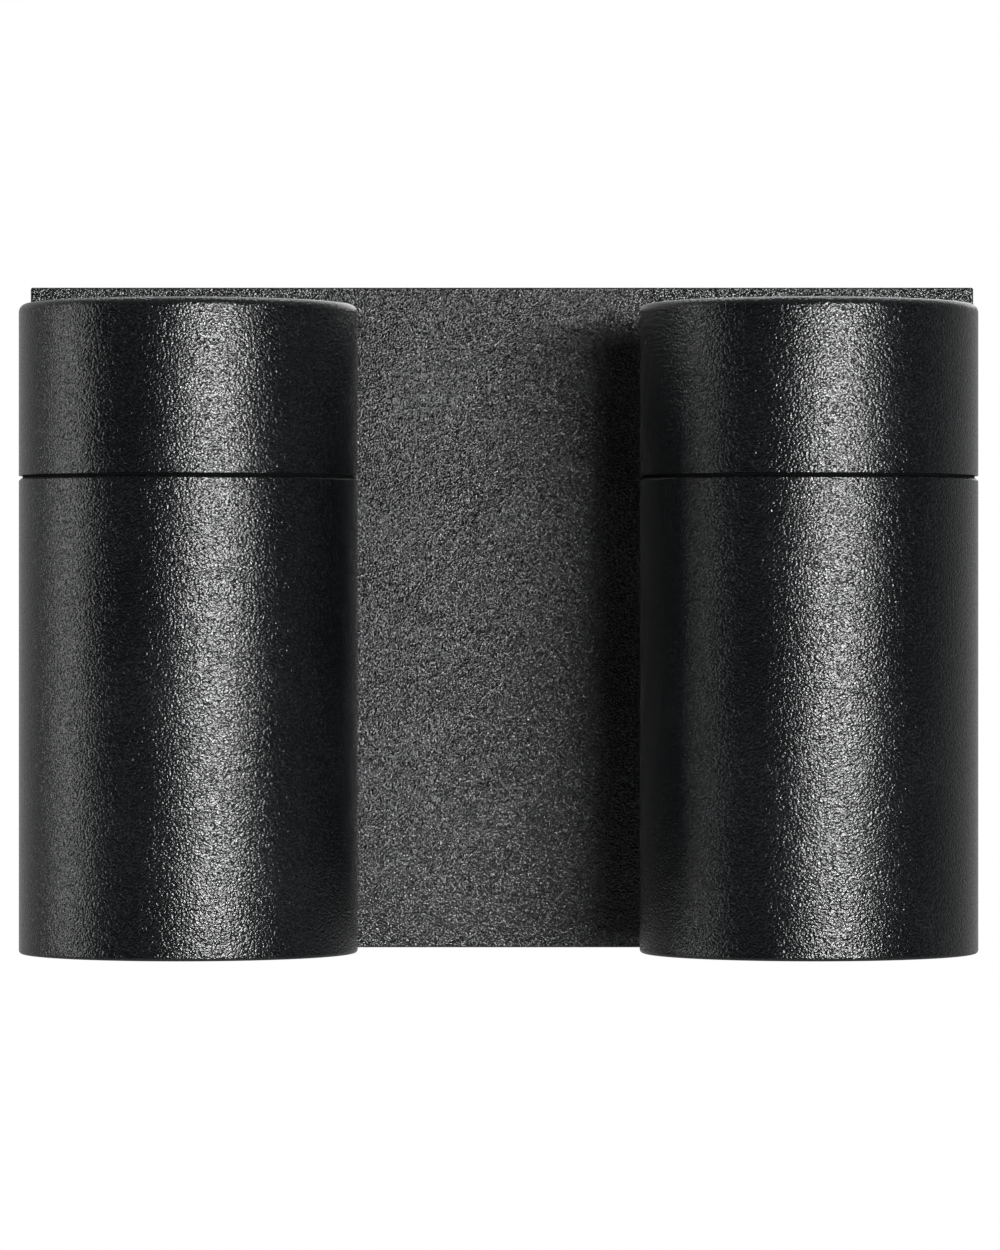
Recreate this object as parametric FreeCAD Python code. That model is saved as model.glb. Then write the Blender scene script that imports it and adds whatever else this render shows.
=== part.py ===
"""Outdoor wall light with two tubular spot heads on one rectangular wall box.

Each head hangs from a hollow knuckle near its top. The knuckle's stem turns in the wall box, so the
head swivels, and the knuckle's two halves turn on a screw, so the head tilts away from the wall. The
long tube pulls off the cap at the joint line to change the lamp, a GU10 reflector lamp.

Millimetres. +Z is up and +Y points into the wall. The origin is the centre of the cable entry, in the
wall plane. Shapes of a head are drawn about x = 0 and moved to its side at the end.
"""

import FreeCAD, Part
import math
import os

V = FreeCAD.Vector
RIGHT, LEFT = 1, -1
SIDE_NAMES = {LEFT: "left", RIGHT: "right"}
OUT_OF_WALL = V(0, -1, 0)
INTO_WALL = V(0, 1, 0)
UP = V(0, 0, 1)
DOWN = V(0, 0, -1)

# ---- clearances -----------------------------------------------------------------------------------
RUNNING_GAP = 0.1        # between faces that turn or slide on each other
SLIP_GAP = 0.2           # between the cap's spigot and the tube's bore
SWING_GAP = 0.5          # between pieces that only pass each other
CHANNEL_GAP = 0.35       # around a core in its channel
THREAD_GAP = 0.05        # between a screwed ring or screw and its plain-drawn hole

# ---- wall box -------------------------------------------------------------------------------------
BOX_WIDTH = 175.0
BOX_HEIGHT = 122.5
BOX_DEPTH = 22.0         # wall plane to front face
BOX_WALL = 2.5
BOX_CORNER_R = 0.4
BOX_EDGE_R = 0.3
GASKET_THICK = 2.0       # squeezed between the rim and the wall
GASKET_INSET = 0.3
DRAIN_D = 4.0
DRAIN_SPACING = 120.0

# ---- mounting bracket -----------------------------------------------------------------------------
BRACKET_THICK = 1.5
BRACKET_HEIGHT = 44.0
BRACKET_SIDE_GAP = 0.5   # between the bracket's ears and the box's side walls
EAR_HEIGHT = 16.0
EAR_DEPTH = 15.0
WIDE_SLOT_SPACING = 100.0
WIDE_SLOT_LENGTH = 12.0
WIDE_SLOT_WIDTH = 5.0
BOX_SLOT_SPACING = 60.0  # device boxes set in the wall
BOX_SLOT_LENGTH = 8.0
BOX_SLOT_WIDTH = 4.5
ENTRY_HOLE_D = 16.0
GROMMET_FLANGE_D = 22.0
GROMMET_FLANGE_THICK = 2.0
ENTRY_BORE_D = 8.0
COVER_SCREW_D = 4.0
COVER_SCREW_HEAD_D = 7.6
COVER_SCREW_LENGTH = 8.0
COVER_SCREW_Y = -10.0
EARTH_SCREW_D = 4.0
EARTH_SCREW_X = -22.0
EARTH_SCREW_Z = -14.0

# ---- terminal block and cores ---------------------------------------------------------------------
POLE_PITCH = 10.0
POLES = 3
TERMINAL_HEIGHT = 17.0
TERMINAL_DEPTH = 14.0
TERMINAL_END = 0.75      # plastic beyond the outer poles' pitch
TERMINAL_BELOW_PIVOT = 5.5
TERMINAL_SCREW_D = 3.5
TERMINAL_SCREW_SUNK = 0.5
TERMINAL_FIXING_D = 3.0
CORE_D = 1.8
CORE_PITCH = 2.1
CORE_BEND = 3.0
CORE_PLANES = (1.6, 4.2)  # behind the stem's end: cores to the left stem, cores to the right stem
CORE_END_GAP = 0.1       # where a turning body's cores meet the next body's

# ---- swivel ---------------------------------------------------------------------------------------
HEAD_SPACING = 110.0
PIVOT_BELOW_TOP = 16.25  # from the box's top edge
STEM_D = 10.0
STEM_BORE_D = 6.4
STEM_HOLE_GAP = 0.3      # the hole's radius beyond the stem's
FLANGE_D = 26.0
FLANGE_THICK = 3.0
THRUST_WASHER_D = 22.0
THRUST_WASHER_THICK = 1.0
WAVE_WASHER_D = 16.0
WAVE_WASHER_THICK = 1.4
STEM_NUT_FLATS = 14.0
STEM_NUT_THICK = 4.0
STEM_BEYOND_NUT = 1.1
SWIVEL_SEAL_R = 11.0
SEAL_CORD_D = 1.4        # section of the small sealing rings, squeezed
STOP_PIN_D = 3.0
STOP_PIN_R = 7.9         # from the swivel axis
STOP_PIN_LENGTH = 2.0
SWIVEL_IN_DEG = 5.0
SWIVEL_OUT_DEG = 180.0

# ---- knuckle --------------------------------------------------------------------------------------
TOP_ABOVE_PIVOT = 10.4   # cap's top above the tilt axis
KNUCKLE_R = 8.0
KNUCKLE_HALF = 9.5       # width of each half
KNUCKLE_WASHER = 1.5     # friction disc between the halves
KNUCKLE_CAVITY_R = 5.5
KNUCKLE_CAVITY = 4.25    # depth of each half's wiring space
KNUCKLE_WEB = 1.8        # wall left between that space and the screw's seat
KNUCKLE_CHAMFER = 0.8
TILT_SCREW_D = 5.0
TILT_HEAD_D = 9.0
TILT_HEAD_HIGH = 2.8
TILT_NUT_FLATS = 8.0
TILT_NUT_THICK = 3.2
CHANNEL_X = 3.0          # cores' plane from the head's middle plane
TIGHT_BEND = 1.5         # of the cores inside the knuckle
CAVITY_CORNER = 4.9      # tilt axis to where a core leaves its channel, along y
CAVITY_TURN = (3.2, 2.4)  # tilt axis to where a core starts round the screw, along y and z
CAVITY_CREST = 4.6       # tilt axis to a core's corner above or below the screw
KNUCKLE_CORE_END = 7.0   # tilt axis to where the head's leads begin
OVER, UNDER = 1, -1
# Each core's way round the screw, its rank where it comes out, and its x before, at and after it.
CORE_WAYS = ((OVER, 1, (-3.0, -1.4, -1.0)), (OVER, 0, (1.0, 1.4, 3.0)), (UNDER, 2, (-3.0, 0.0, 3.0)))

# ---- head -----------------------------------------------------------------------------------------
LAMP_D = 50.0
LAMP_LENGTH = 53.0       # base face to front rim
LAMP_SIDE_GAP = 2.5      # lamp to the tube's bore
HEAD_WALL = 2.5
HEAD_EDGE_R = 1.5
HEAD_FOOT_R = 0.6
CAP_LENGTH = 30.4
JOINT_GAP = 0.5
JOINT_SHOULDER = 1.0     # ring of the joint line that is open
TUBE_CHAMFER = 0.4
SPIGOT_LENGTH = 10.0
SPIGOT_WALL = 2.5
TUBE_SEAL_DROP = 3.1     # joint line to the tube seal's middle
KEYWAY_WIDTH = 3.4
KEYWAY_DEPTH = 0.9
GRUB_DROP = 7.2          # joint line to the grub screw
GRUB_D = 3.0

# ---- lampholder -----------------------------------------------------------------------------------
HOLDER_LENGTH = 30.0
HOLDER_WIDTH = 18.0
HOLDER_HEIGHT = 15.0
HOLDER_DROP = 21.4       # cap's top to the holder's mounting face
HOLDER_PLATE_THICK = 1.2
HOLDER_PLATE_WIDTH = 26.0
HOLDER_PLATE_CORNER_GAP = 1.0
BOSS_SPACING = 40.0
BOSS_D = 7.0
SMALL_SCREW_D = 3.0
HOLDER_SCREW_SPACING = 22.0
HOLDER_SCREW_SUNK = 3.0
PIN_SPACING = 10.0
PIN_HEAD_D = 4.8
PIN_NECK_D = 3.2
PIN_LENGTH = 7.2
PIN_HEAD_HIGH = 2.2
PIN_SLOT_GAP = 0.3
LAMP_TWIST_DEG = 18.0

# ---- front glass ----------------------------------------------------------------------------------
LAMP_TO_LEDGE = 3.0
LEDGE_THICK = 2.0
LEDGE_INNER_GAP = 0.4    # ledge's bore beyond the lamp's radius
GLASS_GASKET_THICK = 1.0
GLASS_THICK = 4.0
GLASS_SIDE_GAP = 0.3
RING_HEIGHT = 5.0
RING_WIDTH = 3.0
RECESS_DEPTH = 10.5      # retaining ring to the tube's mouth
SPANNER_HOLE_D = 2.0

# ---- worked out -----------------------------------------------------------------------------------
TUBE_BORE_R = LAMP_D / 2 + LAMP_SIDE_GAP
HEAD_R = TUBE_BORE_R + HEAD_WALL
BOX_FRONT = -BOX_DEPTH
BOX_INSIDE = BOX_FRONT + BOX_WALL
PIVOT_Z = BOX_HEIGHT / 2 - PIVOT_BELOW_TOP
PIVOT_Y = BOX_FRONT - FLANGE_THICK - TOP_ABOVE_PIVOT - SWING_GAP
AXIS_Y = PIVOT_Y - KNUCKLE_R - SWING_GAP - HEAD_R
STEM_END = (BOX_INSIDE + THRUST_WASHER_THICK + WAVE_WASHER_THICK + STEM_NUT_THICK
            + STEM_BEYOND_NUT)
CORE_LEVELS = (PIVOT_Z + CORE_PITCH, PIVOT_Z, PIVOT_Z - CORE_PITCH)
TERMINAL_TOP = PIVOT_Z - TERMINAL_BELOW_PIVOT
HEAD_TOP = PIVOT_Z + TOP_ABOVE_PIVOT
JOINT_Z = HEAD_TOP - CAP_LENGTH - JOINT_GAP
SPIGOT_R = TUBE_BORE_R - SLIP_GAP
SPIGOT_BOTTOM = JOINT_Z - SPIGOT_LENGTH
HOLDER_TOP = HEAD_TOP - HOLDER_DROP
LAMP_TOP = HOLDER_TOP - HOLDER_HEIGHT
LAMP_FRONT = LAMP_TOP - LAMP_LENGTH
LEDGE_TOP = LAMP_FRONT - LAMP_TO_LEDGE
GASKET_TOP = LEDGE_TOP - LEDGE_THICK
GLASS_TOP = GASKET_TOP - GLASS_GASKET_THICK
RING_TOP = GLASS_TOP - GLASS_THICK
RING_BOTTOM = RING_TOP - RING_HEIGHT
HEAD_BOTTOM = RING_BOTTOM - RECESS_DEPTH
KNUCKLE_IN = KNUCKLE_WASHER / 2
KNUCKLE_OUT = KNUCKLE_IN + KNUCKLE_HALF
KNUCKLE_SEAT = KNUCKLE_IN + KNUCKLE_CAVITY + KNUCKLE_WEB
TERMINAL_BOTTOM = TERMINAL_TOP - TERMINAL_HEIGHT
TERMINAL_FRONT = -BRACKET_THICK - TERMINAL_DEPTH
TERMINAL_ROWS = (TERMINAL_TOP - TERMINAL_HEIGHT * 0.28, TERMINAL_BOTTOM + TERMINAL_HEIGHT * 0.28)
TERMINAL_MIDDLE = TERMINAL_TOP - TERMINAL_HEIGHT / 2
TERMINAL_SCREW_TIP = STEM_END + CORE_PLANES[0] - CORE_D / 2 - THREAD_GAP
FIXING_X = (-POLE_PITCH / 2, POLE_PITCH / 2)
HOLDER_PLATE_TOP = HOLDER_TOP + HOLDER_PLATE_THICK
BOSS_X = (-BOSS_SPACING / 2, BOSS_SPACING / 2)
HOLDER_SCREW_Y = (AXIS_Y - HOLDER_SCREW_SPACING / 2, AXIS_Y + HOLDER_SCREW_SPACING / 2)


# ---- drawing helpers ------------------------------------------------------------------------------
def block(x0, x1, y0, y1, z0, z1):
    """A box from corner to corner, whichever way round the corners come."""
    low = V(min(x0, x1), min(y0, y1), min(z0, z1))
    return Part.makeBox(abs(x1 - x0), abs(y1 - y0), abs(z1 - z0), low)


def rod(base, direction, length, radius):
    return Part.makeCylinder(radius, length, base, direction)


def bevelled_rod(base, direction, length, radius, bevel):
    """A rod whose far end has a chamfered edge."""
    end = Part.makeCone(radius, radius - bevel, bevel, base + direction * (length - bevel), direction)
    return rod(base, direction, length - bevel, radius).fuse(end)


def washer(base, direction, length, outer_r, inner_r):
    return rod(base, direction, length, outer_r).cut(rod(base, direction, length, inner_r))


def round_ring(centre, axis, ring_r, cord_r):
    return Part.makeTorus(ring_r, cord_r, centre, axis)


def hexagon(base, direction, flats, height):
    """A hexagonal prism that stands on base and points along direction."""
    corners = [V(math.cos(math.radians(60 * i)), math.sin(math.radians(60 * i)), 0) for i in range(6)]
    corners = [c * (flats / 2 / math.cos(math.radians(30))) for c in corners]
    prism = Part.Face(Part.makePolygon(corners + corners[:1])).extrude(UP * height)
    prism.Placement = FreeCAD.Placement(base, FreeCAD.Rotation(UP, direction))
    return prism


def outline(corners, lift):
    """A closed wire through corners (a, b) or (a, b, rounding), each put in space by lift(a, b)."""
    points = [lift(c[0], c[1]) for c in corners]
    roundings = [c[2] if len(c) > 2 else 0 for c in corners]
    pieces, count = [], len(points)
    for i, corner in enumerate(points):
        u = (corner - points[i - 1]).normalize()
        w = (points[(i + 1) % count] - corner).normalize()
        half = u.getAngle(w) / 2
        cut = roundings[i] * math.tan(half)
        middle = corner
        if roundings[i]:
            middle = corner + (w - u).normalize() * (roundings[i] / math.cos(half) - roundings[i])
        pieces.append((corner - u * cut, middle, corner + w * cut))
    edges = []
    for i, (start, middle, end) in enumerate(pieces):
        if roundings[i]:
            edges.append(Part.Arc(start, middle, end).toShape())
        edges.append(Part.LineSegment(end, pieces[(i + 1) % count][0]).toShape())
    return Part.Wire(edges)


def turned(corners):
    """A solid turned about the head's axis from an outline of (radius, height) corners."""
    wire = outline(corners, lambda r, z: V(r, AXIS_Y, z))
    return Part.Face(wire).revolve(V(0, AXIS_Y, 0), UP, 360)


def upright_plate(width, height, back, depth, corner_r, middle_z=0.0):
    """A rounded rectangle seen from the front, from y = back out of the wall by depth."""
    w, h = width / 2, height / 2
    corners = [(-w, -h, corner_r), (w, -h, corner_r), (w, h, corner_r), (-w, h, corner_r)]
    wire = outline(corners, lambda x, z: V(x, back, middle_z + z))
    return Part.Face(wire).extrude(OUT_OF_WALL * depth)


def slot(middle, length, width, depth):
    """An obround along x, from y = middle.y out of the wall by depth."""
    half = (length - width) / 2
    ends = [rod(middle + V(s * half, 0, 0), OUT_OF_WALL, depth, width / 2) for s in (-1, 1)]
    bar = block(middle.x - half, middle.x + half, middle.y, middle.y - depth,
                middle.z - width / 2, middle.z + width / 2)
    return bar.fuse(ends)


def arc_slot(radius, width, start_deg, sweep_deg, height):
    """An arc-shaped slot about +Z, from angle start_deg through sweep_deg, standing on z = 0."""
    inner = radius - width / 2
    section = Part.Face(Part.makePolygon([V(inner, 0, 0), V(inner + width, 0, 0),
                                          V(inner + width, 0, height), V(inner, 0, height),
                                          V(inner, 0, 0)]))
    section.rotate(V(), UP, start_deg)
    shape = section.revolve(V(), UP, sweep_deg)
    for angle in (start_deg, start_deg + sweep_deg):
        end = V(math.cos(math.radians(angle)), math.sin(math.radians(angle)), 0) * radius
        shape = shape.fuse(rod(end, UP, height, width / 2))
    return shape


def wire_run(points, radius, bend=CORE_BEND):
    """A round core along straight runs joined by arcs of radius bend."""
    edges, at = [], points[0]
    for before, corner, after in zip(points, points[1:], points[2:]):
        u, w = (corner - before).normalize(), (after - corner).normalize()
        half = u.getAngle(w) / 2
        start, end = corner - u * (bend * math.tan(half)), corner + w * (bend * math.tan(half))
        middle = corner + (w - u).normalize() * (bend / math.cos(half) - bend)
        edges += [Part.LineSegment(at, start).toShape(), Part.Arc(start, middle, end).toShape()]
        at = end
    path = Part.Wire(edges + [Part.LineSegment(at, points[-1]).toShape()])
    section = Part.Wire(Part.Circle(points[0], points[1] - points[0], radius).toShape())
    return path.makePipeShell([section], True, False)


def socket_screw(seat, toward, shaft_d, length, head_d, head_high):
    """A screw with a round head and a hexagon socket; its shaft runs from seat along toward."""
    shaft = rod(seat, toward, length, shaft_d / 2)
    head = rod(seat - toward * head_high, toward, head_high, head_d / 2)
    rim = max(head.Edges, key=lambda e: (e.CenterOfMass - seat).dot(toward) * -1)
    head = head.makeFillet(head_high * 0.3, [rim])
    key = hexagon(seat - toward * head_high, toward, head_d * 0.45, head_high * 0.55)
    return shaft.fuse(head).cut(key).removeSplitter()


def slotted_screw(seat, toward, shaft_d, length, head_d, head_high):
    """A cheese-head screw with a straight slot across its head."""
    shaft = rod(seat, toward, length, shaft_d / 2)
    head = rod(seat - toward * head_high, toward, head_high, head_d / 2)
    width, depth = head_d * 0.16, head_high * 0.5
    cutter = Part.makeBox(head_d, width, depth, V(-head_d / 2, -width / 2, 0))
    cutter.Placement = FreeCAD.Placement(seat - toward * head_high, FreeCAD.Rotation(UP, toward))
    return shaft.fuse(head).cut(cutter).removeSplitter()


def hex_nut(base, direction, flats, thick, bore_d):
    body = hexagon(base, direction, flats, thick)
    return body.cut(rod(base, direction, thick, bore_d / 2))


# ---- wall box and what it holds -------------------------------------------------------------------
def wall_box_cover():
    """A shallow box, open to the wall, with the stems' holes and stop slots in its front."""
    rim = -GASKET_THICK
    shell = upright_plate(BOX_WIDTH, BOX_HEIGHT, rim, BOX_DEPTH - GASKET_THICK, BOX_CORNER_R)
    front = [e for e in shell.Edges if abs(e.BoundBox.YMax - BOX_FRONT) < 1e-6]
    shell = shell.makeFillet(BOX_EDGE_R, front)
    inside = upright_plate(BOX_WIDTH - 2 * BOX_WALL, BOX_HEIGHT - 2 * BOX_WALL, 0,
                           BOX_DEPTH - BOX_WALL, BOX_CORNER_R)
    shell = shell.cut(inside)
    for side in (LEFT, RIGHT):
        centre = V(side * HEAD_SPACING / 2, BOX_INSIDE, PIVOT_Z)
        shell = shell.cut(rod(centre, OUT_OF_WALL, BOX_WALL, STEM_D / 2 + STEM_HOLE_GAP))
        shell = shell.cut(stop_slot(side).translated(centre))
        seat = V(side * BOX_WIDTH / 2, COVER_SCREW_Y, 0)
        shell = shell.cut(cover_screw_hole(seat, V(-side, 0, 0)))
        drain = V(side * DRAIN_SPACING / 2, COVER_SCREW_Y, -BOX_HEIGHT / 2)
        shell = shell.cut(rod(drain, UP, BOX_WALL, DRAIN_D / 2))
    return shell


def stop_slot(side):
    """The arc that the stop pin runs in as its head swivels outwards from hanging straight down."""
    start, sweep = 90 - SWIVEL_IN_DEG, SWIVEL_IN_DEG + SWIVEL_OUT_DEG
    if side == LEFT:
        start = 180 - start - sweep
    arc = arc_slot(STOP_PIN_R, STOP_PIN_D + 2 * RUNNING_GAP, start, sweep, BOX_WALL)
    arc.rotate(V(), V(1, 0, 0), 90)
    return arc


def cover_screw_hole(seat, toward):
    """A countersunk clearance hole in the box's side wall."""
    sink = (COVER_SCREW_HEAD_D - COVER_SCREW_D) / 2
    cone = Part.makeCone(COVER_SCREW_HEAD_D / 2, COVER_SCREW_D / 2, sink, seat, toward)
    return cone.fuse(rod(seat, toward, BOX_WALL, COVER_SCREW_D / 2 + RUNNING_GAP))


def cover_screws():
    """Countersunk socket screws that hold the box to the bracket's ears."""
    sink = (COVER_SCREW_HEAD_D - COVER_SCREW_D) / 2
    screws = []
    for side in (LEFT, RIGHT):
        toward = V(-side, 0, 0)
        seat = V(side * (BOX_WIDTH / 2 - RUNNING_GAP), COVER_SCREW_Y, 0)
        cone = Part.makeCone(COVER_SCREW_HEAD_D / 2 - RUNNING_GAP, COVER_SCREW_D / 2 - RUNNING_GAP,
                             sink, seat, toward)
        shaft = rod(seat, toward, COVER_SCREW_LENGTH, COVER_SCREW_D / 2 - RUNNING_GAP)
        key = hexagon(seat, toward, COVER_SCREW_D * 0.6, sink)
        screws.append(cone.fuse(shaft).cut(key))
    return Part.makeCompound(screws)


def rear_gasket():
    outer = upright_plate(BOX_WIDTH - 2 * GASKET_INSET, BOX_HEIGHT - 2 * GASKET_INSET, 0,
                          GASKET_THICK, BOX_CORNER_R)
    inner = upright_plate(BOX_WIDTH - 2 * BOX_WALL, BOX_HEIGHT - 2 * BOX_WALL, 0,
                          GASKET_THICK, BOX_CORNER_R)
    return outer.cut(inner)


def mounting_bracket():
    """A flat steel strap on the wall, with two tapped ears and a raised tab for the terminals."""
    ear_x = BOX_WIDTH / 2 - BOX_WALL - BRACKET_SIDE_GAP
    plate = upright_plate(2 * ear_x, BRACKET_HEIGHT, 0, BRACKET_THICK, 0.5)
    tab_half = POLE_PITCH * POLES / 2 + 2
    plate = plate.fuse(block(-tab_half, tab_half, 0, -BRACKET_THICK, 0, TERMINAL_TOP + 2))
    for side in (LEFT, RIGHT):
        ear = block(side * ear_x, side * (ear_x - BRACKET_THICK), 0, -EAR_DEPTH,
                    -EAR_HEIGHT / 2, EAR_HEIGHT / 2)
        tapped = rod(V(side * ear_x, COVER_SCREW_Y, 0), V(-side, 0, 0), BRACKET_THICK,
                     COVER_SCREW_D / 2)
        plate = plate.fuse(ear).cut(tapped)
        for spacing, length, width in ((WIDE_SLOT_SPACING, WIDE_SLOT_LENGTH, WIDE_SLOT_WIDTH),
                                       (BOX_SLOT_SPACING, BOX_SLOT_LENGTH, BOX_SLOT_WIDTH)):
            plate = plate.cut(slot(V(side * spacing / 2, 0, 0), length, width, BRACKET_THICK))
    plate = plate.cut(rod(V(), OUT_OF_WALL, BRACKET_THICK, ENTRY_HOLE_D / 2))
    earth = V(EARTH_SCREW_X, 0, EARTH_SCREW_Z)
    plate = plate.cut(rod(earth, OUT_OF_WALL, BRACKET_THICK, EARTH_SCREW_D / 2))
    for x in FIXING_X:
        plate = plate.cut(rod(V(x, 0, TERMINAL_MIDDLE), OUT_OF_WALL, BRACKET_THICK,
                              TERMINAL_FIXING_D / 2))
    return plate.removeSplitter()


def cable_grommet():
    """A rubber bush in the bracket's hole, flush with the wall plane behind."""
    neck = rod(V(), OUT_OF_WALL, BRACKET_THICK + GROMMET_FLANGE_THICK,
               ENTRY_HOLE_D / 2 - THREAD_GAP)
    collar = rod(V(0, -BRACKET_THICK, 0), OUT_OF_WALL, GROMMET_FLANGE_THICK, GROMMET_FLANGE_D / 2)
    bore = rod(V(), OUT_OF_WALL, BRACKET_THICK + GROMMET_FLANGE_THICK, ENTRY_BORE_D / 2)
    return neck.fuse(collar).cut(bore).removeSplitter()


def pole_positions():
    return [(i - (POLES - 1) / 2) * POLE_PITCH for i in range(POLES)]


def terminal_block():
    """A three-pole plastic block with core entries above and below and screw wells in front."""
    half = POLE_PITCH * POLES / 2 + TERMINAL_END
    back, depth = -BRACKET_THICK, TERMINAL_DEPTH
    body = block(-half, half, back, TERMINAL_FRONT, TERMINAL_BOTTOM, TERMINAL_TOP)
    entry_back = STEM_END + CORE_PLANES[1] + CORE_D
    entry_front = STEM_END + CORE_PLANES[0] - CORE_D
    entry = CORE_D / 2 + CHANNEL_GAP
    for x in pole_positions():
        body = body.cut(block(x - entry, x + entry, entry_back, entry_front, TERMINAL_BOTTOM,
                              TERMINAL_TOP))
        for z in TERMINAL_ROWS:
            body = body.cut(rod(V(x, TERMINAL_FRONT, z), INTO_WALL,
                                TERMINAL_SCREW_TIP + RUNNING_GAP - TERMINAL_FRONT,
                                TERMINAL_SCREW_D / 2 + RUNNING_GAP))
    for x in FIXING_X:
        groove = block(x - 0.6, x + 0.6, TERMINAL_FRONT, TERMINAL_FRONT + 5, TERMINAL_BOTTOM,
                       TERMINAL_TOP)
        hole = rod(V(x, back, TERMINAL_MIDDLE), OUT_OF_WALL, depth,
                   TERMINAL_FIXING_D / 2 + RUNNING_GAP)
        well = rod(V(x, TERMINAL_FRONT, TERMINAL_MIDDLE), INTO_WALL, 6.0,
                   TERMINAL_FIXING_D + RUNNING_GAP)
        body = body.cut(groove).cut(hole).cut(well)
    return body


def terminal_screws():
    """Clamping screws, from just below the block's front to the nearer core."""
    start = TERMINAL_FRONT + TERMINAL_SCREW_SUNK
    screws = []
    for x in pole_positions():
        for z in TERMINAL_ROWS:
            shaft = rod(V(x, start, z), INTO_WALL, TERMINAL_SCREW_TIP - start, TERMINAL_SCREW_D / 2)
            screws.append(shaft.cut(block(x - 2, x + 2, start, start + 0.8, z - 0.3, z + 0.3)))
    return Part.makeCompound(screws)


def terminal_fixing_screws():
    seat_y = TERMINAL_FRONT + 6.0
    return Part.makeCompound([
        slotted_screw(V(x, seat_y, TERMINAL_MIDDLE), INTO_WALL, TERMINAL_FIXING_D - 2 * THREAD_GAP,
                      -seat_y, TERMINAL_FIXING_D * 1.8, 2.0)
        for x in FIXING_X])


def earth_screw():
    """The supply's earth screw, with a square cup washer under its head."""
    seat = V(EARTH_SCREW_X, -BRACKET_THICK - 1.0, EARTH_SCREW_Z)
    screw = slotted_screw(seat, INTO_WALL, EARTH_SCREW_D - 2 * THREAD_GAP, BRACKET_THICK + 1.0,
                          EARTH_SCREW_D * 1.8, 2.6)
    cup = block(EARTH_SCREW_X - 5, EARTH_SCREW_X + 5, -BRACKET_THICK, -BRACKET_THICK - 1.0,
                EARTH_SCREW_Z - 4.5, EARTH_SCREW_Z + 4.5)
    cup = cup.cut(rod(seat, INTO_WALL, 1.0, EARTH_SCREW_D / 2))
    return Part.makeCompound([screw, cup])


def box_cores(pole, levels):
    """One pole's two cores, each from the terminals into a stem; levels gives (left, right)."""
    cores = []
    for side, plane, level in zip((LEFT, RIGHT), CORE_PLANES, levels):
        y, x = STEM_END + plane, side * HEAD_SPACING / 2
        points = [V(pole, y, TERMINAL_TOP - 4), V(pole, y, level), V(x, y, level),
                  V(x, BOX_FRONT + CORE_END_GAP, level)]
        cores.append(wire_run(points, CORE_D / 2))
    return Part.makeCompound(cores)


def thrust_washers():
    """Plastic washers inside the box front that the wave washers press on."""
    return Part.makeCompound([
        washer(V(side * HEAD_SPACING / 2, BOX_INSIDE, PIVOT_Z), INTO_WALL, THRUST_WASHER_THICK,
               THRUST_WASHER_D / 2, STEM_D / 2 + STEM_HOLE_GAP)
        for side in (LEFT, RIGHT)])


# ---- swivel base and its fastenings ---------------------------------------------------------------
def knuckle_half(inner_x, outer_x, web_end):
    """A chamfered disc about the tilt axis, from inner_x out to outer_x, with a web to y = web_end."""
    direction = V(math.copysign(1, outer_x - inner_x), 0, 0)
    length = abs(outer_x - inner_x)
    disc = bevelled_rod(V(inner_x, PIVOT_Y, PIVOT_Z), direction, length, KNUCKLE_R, KNUCKLE_CHAMFER)
    inset = KNUCKLE_R - KNUCKLE_CHAMFER
    web = block(inner_x, outer_x - direction.x * KNUCKLE_CHAMFER, PIVOT_Y, web_end,
                PIVOT_Z - KNUCKLE_R, PIVOT_Z + KNUCKLE_R)
    web_face = block(inner_x, outer_x, PIVOT_Y, web_end, PIVOT_Z - inset, PIVOT_Z + inset)
    return disc.fuse([web, web_face])


def knuckle_cavity(inner_x, sign):
    return rod(V(inner_x, PIVOT_Y, PIVOT_Z), V(sign, 0, 0), KNUCKLE_CAVITY, KNUCKLE_CAVITY_R)


def core_way(side, rank):
    """A core's way round the tilt screw; the left head is the right one's mirror, upside down."""
    mirrored = rank if side == RIGHT else 2 - rank
    way, rank_out, lanes = CORE_WAYS[mirrored]
    return way * side, rank_out if side == RIGHT else 2 - rank_out, lanes


def stem_to_cavity(side, rank):
    """From the stem's bore, across to where the base half's channel ends."""
    x, start, level = -side * CHANNEL_X, BOX_FRONT, CORE_LEVELS[rank]
    return [V(0, start, level), V(0, start - 1.2, level), V(x, start - 5.2, level),
            V(x, PIVOT_Y + CAVITY_CORNER, level)]


def knuckle_core_points(side, rank):
    """From the stem's bore, round the tilt screw, into the head half's channel."""
    way, rank_out, lanes = core_way(side, rank)
    turn_y, turn_z = CAVITY_TURN
    level = CORE_LEVELS[rank_out]
    return stem_to_cavity(side, rank) + [
        V(side * lanes[0], PIVOT_Y + turn_y, PIVOT_Z + way * turn_z),
        V(side * lanes[1], PIVOT_Y, PIVOT_Z + way * CAVITY_CREST),
        V(side * lanes[2], PIVOT_Y - turn_y, PIVOT_Z + way * turn_z),
        V(side * CHANNEL_X, PIVOT_Y - CAVITY_CORNER, level),
        V(side * CHANNEL_X, PIVOT_Y - KNUCKLE_CORE_END + CORE_END_GAP, level)]


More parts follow.
